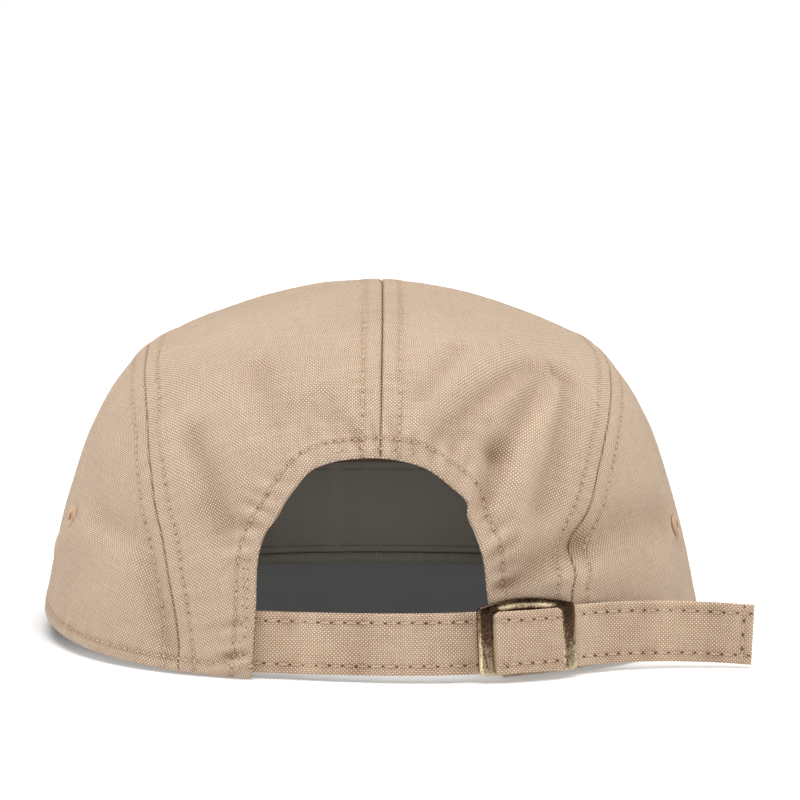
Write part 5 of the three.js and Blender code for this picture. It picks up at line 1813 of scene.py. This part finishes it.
@dataclass
class Peak:
    """The flat peak: canvas over a board, with rows of stitching that follow its edge."""

    rows: tuple[float, ...] = (4.0, 12.0, 20.0, 28.0, 36.0, 44.0)
    groove: float = 0.28
    edge_radius: float = 1.3
    stitch_pitch: float = 2.6

    def outer(self, turn: Array, inset: float = 0.0) -> Array:
        """Gives the peak's outer outline in plan, from the left end round to the right."""
        angle = np.pi * turn
        half, reach = PEAK.half_width - inset, CROWN.front_reach + PEAK.length + PEAK.end_y - inset
        across, along = np.abs(np.cos(angle) / half), np.abs(np.sin(angle) / reach)
        radius = (across**PEAK.roundness + along**PEAK.roundness) ** (-1 / PEAK.roundness)
        return np.stack([radius * np.cos(angle), PEAK.end_y - radius * np.sin(angle)], -1)

    def inner(self, turn: Array) -> Array:
        """Gives the peak's inner outline in plan, just inside the crown's wall."""
        start = math.asin(-PEAK.end_y / CROWN.front_reach) * 0.98
        angle = -start - (math.pi - 2 * start) * turn
        rim = CROWN.contour(np.cos(angle), np.sin(angle), CROWN.width / 2, np.array(CROWN.front_reach))
        return on_rim(angle) * (rim - PEAK.seam_allowance)[:, None]

    def relief(self, flat: Array) -> tuple[Array, Array]:
        """Gives the quilted relief at places in plan, and how far the edge has rolled down there."""
        outline = self.outer(np.linspace(0, 1, 900))
        track = Track(np.column_stack([outline, np.zeros(len(outline))]))
        away, run = track.nearest(np.concatenate([flat, np.zeros((*flat.shape[:-1], 1))], -1))
        total = np.zeros(away.shape)
        for k, row in enumerate(self.rows):
            total -= self.groove * pull(run, self.stitch_pitch) * ridge(away - row, 0.6)
            total += 0.1 * Ripple(5.5, 80 + k).along(run) * ridge(away - row, 2.6)
        return total, rolled(away, self.edge_radius)

    def build(self, tree: Tree, finishes: Finishes) -> None:
        """Builds the peak and its rows of stitching."""
        turn, out = np.linspace(0, 1, 300), stations(60.0, 0.85, (0.0, 0.15, 0.4, 0.8, 1.4))
        inner, outer = self.inner(turn)[None], self.outer(turn)[None]
        flat = inner * (1 - out[:, None, None]) + outer * out[:, None, None]
        relief, fallen = self.relief(flat)
        top = CROWN.peak_top(flat[..., 1])
        upper = np.concatenate([flat, (top + relief - fallen)[..., None]], -1)
        lower = np.concatenate([flat, (top - PEAK.thickness - relief + fallen)[..., None]], -1)
        grain = (flat + unit(outer - inner) * fallen[..., None]).reshape(-1, 2)
        points = np.vstack([upper.reshape(-1, 3), lower.reshape(-1, 3)])
        # Painted shade: the stitch grooves darken the peak's colour
        shade_mark = np.clip(np.concatenate([relief.ravel()] * 2), -0.4, 0.0)
        faces, count = facing_out(points, wall_faces(*flat.shape[:2])), flat.shape[1]
        bound = [int(all(k % (len(points) // 2) < 3 * count for k in face)) for face in faces]
        solid = Solid(points, faces, np.vstack([grain, grain]), {"sewn": shade_mark}, (finishes.band,), bound)
        finish(solid.make("peak_cloth", finishes.canvas), Slot.CANVAS, "peak")
        paths = []
        outline = self.outer(np.linspace(0, 1, 500))
        way = unit(np.gradient(outline, axis=0))
        inward = np.stack([-way[:, 1], way[:, 0]], -1)
        inward *= np.sign((inward * (np.array([0.0, -60.0]) - outline)).sum(-1))[:, None]
        for row in self.rows:
            line = outline + inward * row
            angle = np.arctan2(line[:, 1], line[:, 0])
            rim = CROWN.contour(np.cos(angle), np.sin(angle), CROWN.width / 2, np.array(CROWN.front_reach))
            kept = line[(np.hypot(*line.T) > rim + 1.5) & (line[:, 1] < PEAK.end_y - 4)]
            for side in (0.0, PEAK.thickness):
                height = CROWN.peak_top(kept[:, 1]) - side
                lift = (0.5 if side else -0.5) * self.groove
                outs = np.tile([0.0, 0.0, -1.0 if side else 1.0], (len(kept), 1))
                paths.append((np.column_stack([kept, height + lift]), outs))
        kind = Stitching(pitch=self.stitch_pitch, length=2.2)
        finish(kind.sew("peak_stitches", paths, tree, finishes, 15), Slot.THREAD)


@dataclass
class Sweatband:
    """The dark cotton band inside the rim, from one side of the opening round to the other."""

    start: float = math.radians(58)
    end: float = math.radians(-238)
    low: float = 0.0
    high: float = 30.0
    outer_depth: float = 2.65
    inner_depth: float = 3.85
    stitch_inset: float = 2.5
    stitch_pitch: float = 2.6

    def build(self, cloth: Cloth, tree: Tree, finishes: Finishes) -> None:
        """Builds the band with its rolled edges and its row of stitching."""
        phi = np.linspace(self.start, self.end, 420)
        up = self.low + (self.high - self.low) * stations(self.high - self.low, 0.8, (0.0, 0.12, 0.3, 0.6))
        rim = CROWN.at(phi, np.ones_like(phi))[:, 2]
        height = rim[None] + up[:, None]
        turn = np.broadcast_to(phi, height.shape)
        rho = CROWN.rho_at_height(turn.copy(), height)
        sheet = cloth.sheet(polar(turn, rho))
        run = np.broadcast_to(run_along(CROWN.at(phi, np.ones_like(phi))), height.shape)
        away = np.minimum(up - self.low, self.high - up)[:, None] + np.zeros_like(height)
        half = (self.inner_depth - self.outer_depth) / 2
        fall = rolled(away, half * 0.95)
        row = ridge(away - self.stitch_inset, 0.55) * pull(run, self.stitch_pitch, 0.3)
        relief = -0.22 * row + 0.12 * Ripple(9.0, 71).along(run)
        outside = sheet["folded"] - sheet["through"] * (self.outer_depth + fall)[..., None]
        inside = sheet["folded"] - sheet["through"] * (self.inner_depth - fall + relief)[..., None]
        points = np.vstack([outside.reshape(-1, 3), inside.reshape(-1, 3)])
        grain = np.stack([run, np.broadcast_to(up[:, None], run.shape)], -1).reshape(-1, 2)
        # Painted shade: the stitch grooves darken the band's inside, and its ripples shade it lighter and
        # darker
        shade_mark = np.concatenate([np.zeros(run.size), np.clip(relief.ravel(), -0.3, 0.1)])
        faces = facing_out(points, wall_faces(*run.shape))
        solid = Solid(points, faces, np.vstack([grain, grain]), {"sewn": shade_mark})
        finish(solid.make("sweatband_tape", finishes.band), Slot.BAND, "sweatband")
        paths = []
        for at in (self.low + self.stitch_inset, self.high - self.stitch_inset):
            k = int(np.argmin(np.abs(up - at)))
            depth = self.inner_depth - 0.12
            paths.append((sheet["folded"][k] - sheet["through"][k] * depth, -sheet["through"][k]))
        kind = Stitching(pitch=self.stitch_pitch, length=2.2)
        finish(kind.sew("sweatband_stitches", paths, tree, finishes, 21, finishes.band_thread), Slot.THREAD)


@dataclass
class Eyelet:
    """A sewn eyelet: a ring of buttonhole stitches round a hole in its panel."""

    side: Side
    spot: tuple[float, float]
    hole_radius: float = 1.1
    ring_radius: float = 2.7
    tube_radius: float = 1.8
    crown_rise: float = 1.9
    back: float = -0.9

    def build(self, cloth: Cloth, tree: Tree, finishes: Finishes) -> None:
        """Cuts the hole, turns the padded ring and lays the stitches over it."""
        name = self.side.name.lower()
        place_at = np.array([self.spot])
        sheet = cloth.sheet(place_at)
        axis, outside = sheet["through"][0], sheet["folded"][0]
        middle = outside - axis * CROWN.wall / 2
        across = unit(np.cross(np.array([0.0, 0.0, 1.0]), axis))
        up = np.cross(axis, across)
        turn = np.linspace(0, 2 * np.pi, 73)[:-1]
        spoke = np.cos(turn)[:, None] * across + np.sin(turn)[:, None] * up
        crest = (self.hole_radius + self.ring_radius) / 2
        reach = (self.ring_radius - self.hole_radius) / 2
        arc = np.linspace(0, np.pi, 13)
        inner = [self.hole_radius, self.tube_radius, self.tube_radius]
        radius = np.concatenate([crest + reach * np.cos(arc), inner])
        height = np.concatenate([1.15 + (self.crown_rise - 1.15) * np.sin(arc), [self.back, self.back, 0.8]])
        ring = middle + spoke[:, None] * radius[None, :, None] + axis * height[None, :, None]
        rows, sides = ring.shape[:2]
        faces = ring_faces(rows, sides)
        points = ring.reshape(-1, 3)
        solid = Solid(points, facing_out(points, faces), np.zeros((len(points), 2)))
        finish(solid.make(f"eyelet_{name}_ring", finishes.thread), Slot.THREAD, f"eyelet_{name}")
        circle = np.vstack([spoke, spoke[:1]]) * crest
        path = middle + circle + axis * (self.crown_rise - 0.12)
        kind = Stitching(pitch=0.34, length=1.7, width=0.36, height=0.5, hole=0.0, turn=math.pi / 2,
                         wander=0.09)
        outs = np.tile(axis, (len(path), 1))
        finish(kind.sew(f"eyelet_{name}_thread", [(path, outs)], tree, finishes, 31), Slot.THREAD)
        self.pierce(f"side_panel_{name}_cloth", middle, axis)

    def pierce(self, panel: str, middle: Array, axis: Array) -> None:
        """Cuts the eyelet's hole through the panel's cloth with a boolean that is then applied."""
        cloth = bpy.data.objects[panel]
        turn = np.linspace(0, 2 * np.pi, 33)[:-1]
        across = unit(np.cross(np.array([0.0, 0.0, 1.0]), axis))
        spoke = np.cos(turn)[:, None] * across + np.sin(turn)[:, None] * np.cross(axis, across)
        ends = [middle + spoke * (self.tube_radius - 0.1) + axis * shift for shift in (-4.0, 4.0)]
        points = np.vstack(ends)
        faces = tube_faces(2, 32)
        mesh = bpy.data.meshes.new("hole_cutter")
        mesh.from_pydata(place(points).tolist(), [], facing_out(points, faces))
        cutter = add_object("hole_cutter", mesh)
        cut = cloth.modifiers.new("hole", "BOOLEAN")
        cut.operation, cut.solver, cut.object = "DIFFERENCE", "EXACT", cutter
        graph = bpy.context.evaluated_depsgraph_get()
        holed = bpy.data.meshes.new_from_object(cloth.evaluated_get(graph))
        cloth.modifiers.remove(cut)
        old, cloth.data = cloth.data, holed
        bpy.data.meshes.remove(old)
        bpy.data.objects.remove(cutter)


@dataclass
class Studio:
    """The pale floor with a painted shadow under the cap, the soft light and the camera."""

    camera_at: tuple[float, float, float] = (0.0, 900.0, 151.0)
    seen: tuple[float, float, float] = (0.0, 0.0, 45.0)
    seen_pixel: tuple[float, float] = (371.0, 461.0)
    picture: float = 800.0
    lens: float = 145.8
    sensor: float = 36.0

    def camera(self) -> None:
        """Places the camera so that one point of the cap lies on its pixel."""
        focal = self.lens / self.sensor * self.picture
        offset = (np.array(self.seen_pixel) - self.picture / 2) / focal
        wanted = unit(np.array(self.seen) - np.array(self.camera_at))
        forward = wanted.copy()
        for _ in range(20):
            right = unit(np.cross(forward, UP))
            above = np.cross(right, forward)
            forward = unit(forward + wanted - unit(forward + offset[0] * right - offset[1] * above))
        right = unit(np.cross(forward, UP))
        data = bpy.data.cameras.new("camera")
        data.lens, data.sensor_width = self.lens, self.sensor
        data.clip_start, data.clip_end = 0.05, 30.0
        viewer = add_object("camera", data)
        turned = Matrix([right, np.cross(right, forward), -forward]).transposed().to_4x4()
        turned.translation = Vector(place(np.array(self.camera_at)))
        viewer.matrix_world = turned
        bpy.context.scene.camera = viewer

    def softbox(self, name: str, at: tuple[float, float, float], size: tuple[float, float], power: float,
                colour: tuple[float, float, float] = (1.0, 1.0, 1.0)) -> None:
        """Hangs one soft light that faces the cap.

        Args:
            name: the light's name.
            at: its place in millimetres.
            size: its width and height in metres.
            power: its power in watts.
            colour: its colour.
        """
        data = bpy.data.lights.new(name, "AREA")
        data.shape, data.size, data.size_y = "RECTANGLE", *size
        data.energy, data.color = power, colour
        lamp = add_object(name, data)
        spot = Vector(place(np.array(at)))
        aim = Vector(place(np.array([0.0, 0.0, 45.0])))
        turn = (aim - spot).to_track_quat("-Z", "Y").to_matrix().to_4x4()
        lamp.matrix_world = Matrix.Translation(spot) @ turn

    def sky(self, low: float, high: float) -> None:
        """Lights the room evenly, brighter near the horizon than overhead.

        Args:
            low: the strength near the horizon.
            high: the strength overhead.
        """
        world = bpy.data.worlds.new("white room")
        world.use_nodes = True
        tree = world.node_tree
        tree.nodes.clear()
        way = add_node(tree, "ShaderNodeTexCoord").outputs["Generated"]
        split = add_node(tree, "ShaderNodeSeparateXYZ", (way,))
        rise = add_node(tree, "ShaderNodeMapRange", {"Value": split.outputs["Z"], "From Min": 0.03,
                                                     "From Max": 0.1, "To Min": low, "To Max": high},
                                                     interpolation_type="SMOOTHSTEP")
        glow = add_node(tree, "ShaderNodeBackground", ((1.0, 1.0, 1.0, 1.0), rise))
        add_node(tree, "ShaderNodeOutputWorld", (glow,))
        bpy.context.scene.world = world

    def floor(self) -> None:
        """Lays a wide pale floor whose glow keeps the ground white away from the cap, and whose darker colour
        and weaker glow paint a shadow in and around the cap's footprint.
        """
        half = 6.0
        mesh = bpy.data.meshes.new("floor")
        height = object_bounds()[0].z
        corners = [(-half, -half, height), (half, -half, height), (half, half, height), (-half, half, height)]
        mesh.from_pydata(corners, [], [(0, 1, 2, 3)])
        material, tree = new_material("white studio floor with painted shadow")
        spot = add_node(tree, "ShaderNodeTexCoord").outputs["Object"]
        middle = place(np.array([0.0, 0.0, 0.0]))
        shift = add_node(tree, "ShaderNodeVectorMath", (spot, tuple(middle)), operation="SUBTRACT")
        split = add_node(tree, "ShaderNodeSeparateXYZ", (shift,))
        back = add_node(tree, MATH, (split.outputs["Y"], 0.0), operation="MAXIMUM")
        ahead = add_node(tree, MATH, (split.outputs["Y"], 0.0), operation="MINIMUM")
        along = add_node(tree, MATH, (ahead, 1 / 0.16, add_node(tree, MATH, (back, 1 / 0.07),
                                                                operation="MULTIPLY")),
                                                                operation="MULTIPLY_ADD")
        across = add_node(tree, MATH, (split.outputs["X"], 1 / 0.0905), operation="MULTIPLY")
        flat = add_node(tree, "ShaderNodeCombineXYZ", (across, along))
        away = add_node(tree, "ShaderNodeVectorMath", (flat,), operation="LENGTH")
        # The glow is weakest inside the cap's footprint, as a painted shadow. It rises just outside the
        # footprint, and rises again far off to keep the ground evenly white
        glow = add_node(tree, "ShaderNodeMapRange", {"Value": away.outputs["Value"], "From Min": 0.97,
                                                     "From Max": 1.15, "To Min": 0.058, "To Max": 0.25},
                                                     interpolation_type="SMOOTHSTEP")
        far = add_node(tree, "ShaderNodeMapRange", {"Value": away.outputs["Value"], "From Min": 2.0,
                                                    "From Max": 9.0, "To Min": 0.0, "To Max": 0.75},
                                                    interpolation_type="SMOOTHSTEP")
        # Painted shadow: the floor's colour is dark inside the cap's footprint
        painted_shadow = add_node(tree, "ShaderNodeMapRange", {"Value": away.outputs["Value"], "From Min": 0.97,
                                                      "From Max": 1.0, "To Min": 0.1, "To Max": 0.8},
                                                      interpolation_type="SMOOTHSTEP")
        shade = add_node(tree, "ShaderNodeCombineColor", {k: painted_shadow for k in range(3)})
        surface = add_node(tree, "ShaderNodeBsdfPrincipled",
                           {"Base Color": shade, "Roughness": 1.0, "Specular IOR Level": 0.0,
                            "Emission Color": (1.0, 1.0, 1.0, 1.0),
                            "Emission Strength": add_node(tree, MATH, (glow, far), operation="ADD")})
        add_node(tree, "ShaderNodeOutputMaterial", {"Surface": surface})
        mesh.materials.append(material)
        add_object("floor", mesh)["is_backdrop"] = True

    def build(self) -> None:
        """Sets up the whole studio."""
        bpy.context.scene.view_settings.view_transform = "Standard"
        self.camera()
        self.floor()
        self.sky(1.0, 0.05)
        self.softbox("key", (20.0, 90.0, 1380.0), (1.4, 1.2), 26.0)
        self.softbox("fill", (0.0, 1100.0, 140.0), (0.5, 0.3), 2.6)
        self.softbox("left side", (1000.0, 150.0, 350.0), (0.8, 0.6), 2.7)
        self.softbox("right side", (-1000.0, 150.0, 350.0), (0.8, 0.6), 2.7)


def main() -> None:
    """Builds the cap and its studio."""
    logging.basicConfig(level=logging.INFO, format="%(name)s: %(message)s")
    Studio().build()
    finishes, tree, cloth = Finishes(), stitch_tree(), Cloth()
    Crown().build(cloth, tree, finishes)
    Fastening().build(tree, finishes)
    Peak().build(tree, finishes)
    Sweatband().build(cloth, tree, finishes)
    Eyelet(Side.LEFT, (0.68, 0.303)).build(cloth, tree, finishes)
    Eyelet(Side.RIGHT, (-0.729, 0.262)).build(cloth, tree, finishes)
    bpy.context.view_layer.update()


if __name__ == "__main__":
    main()
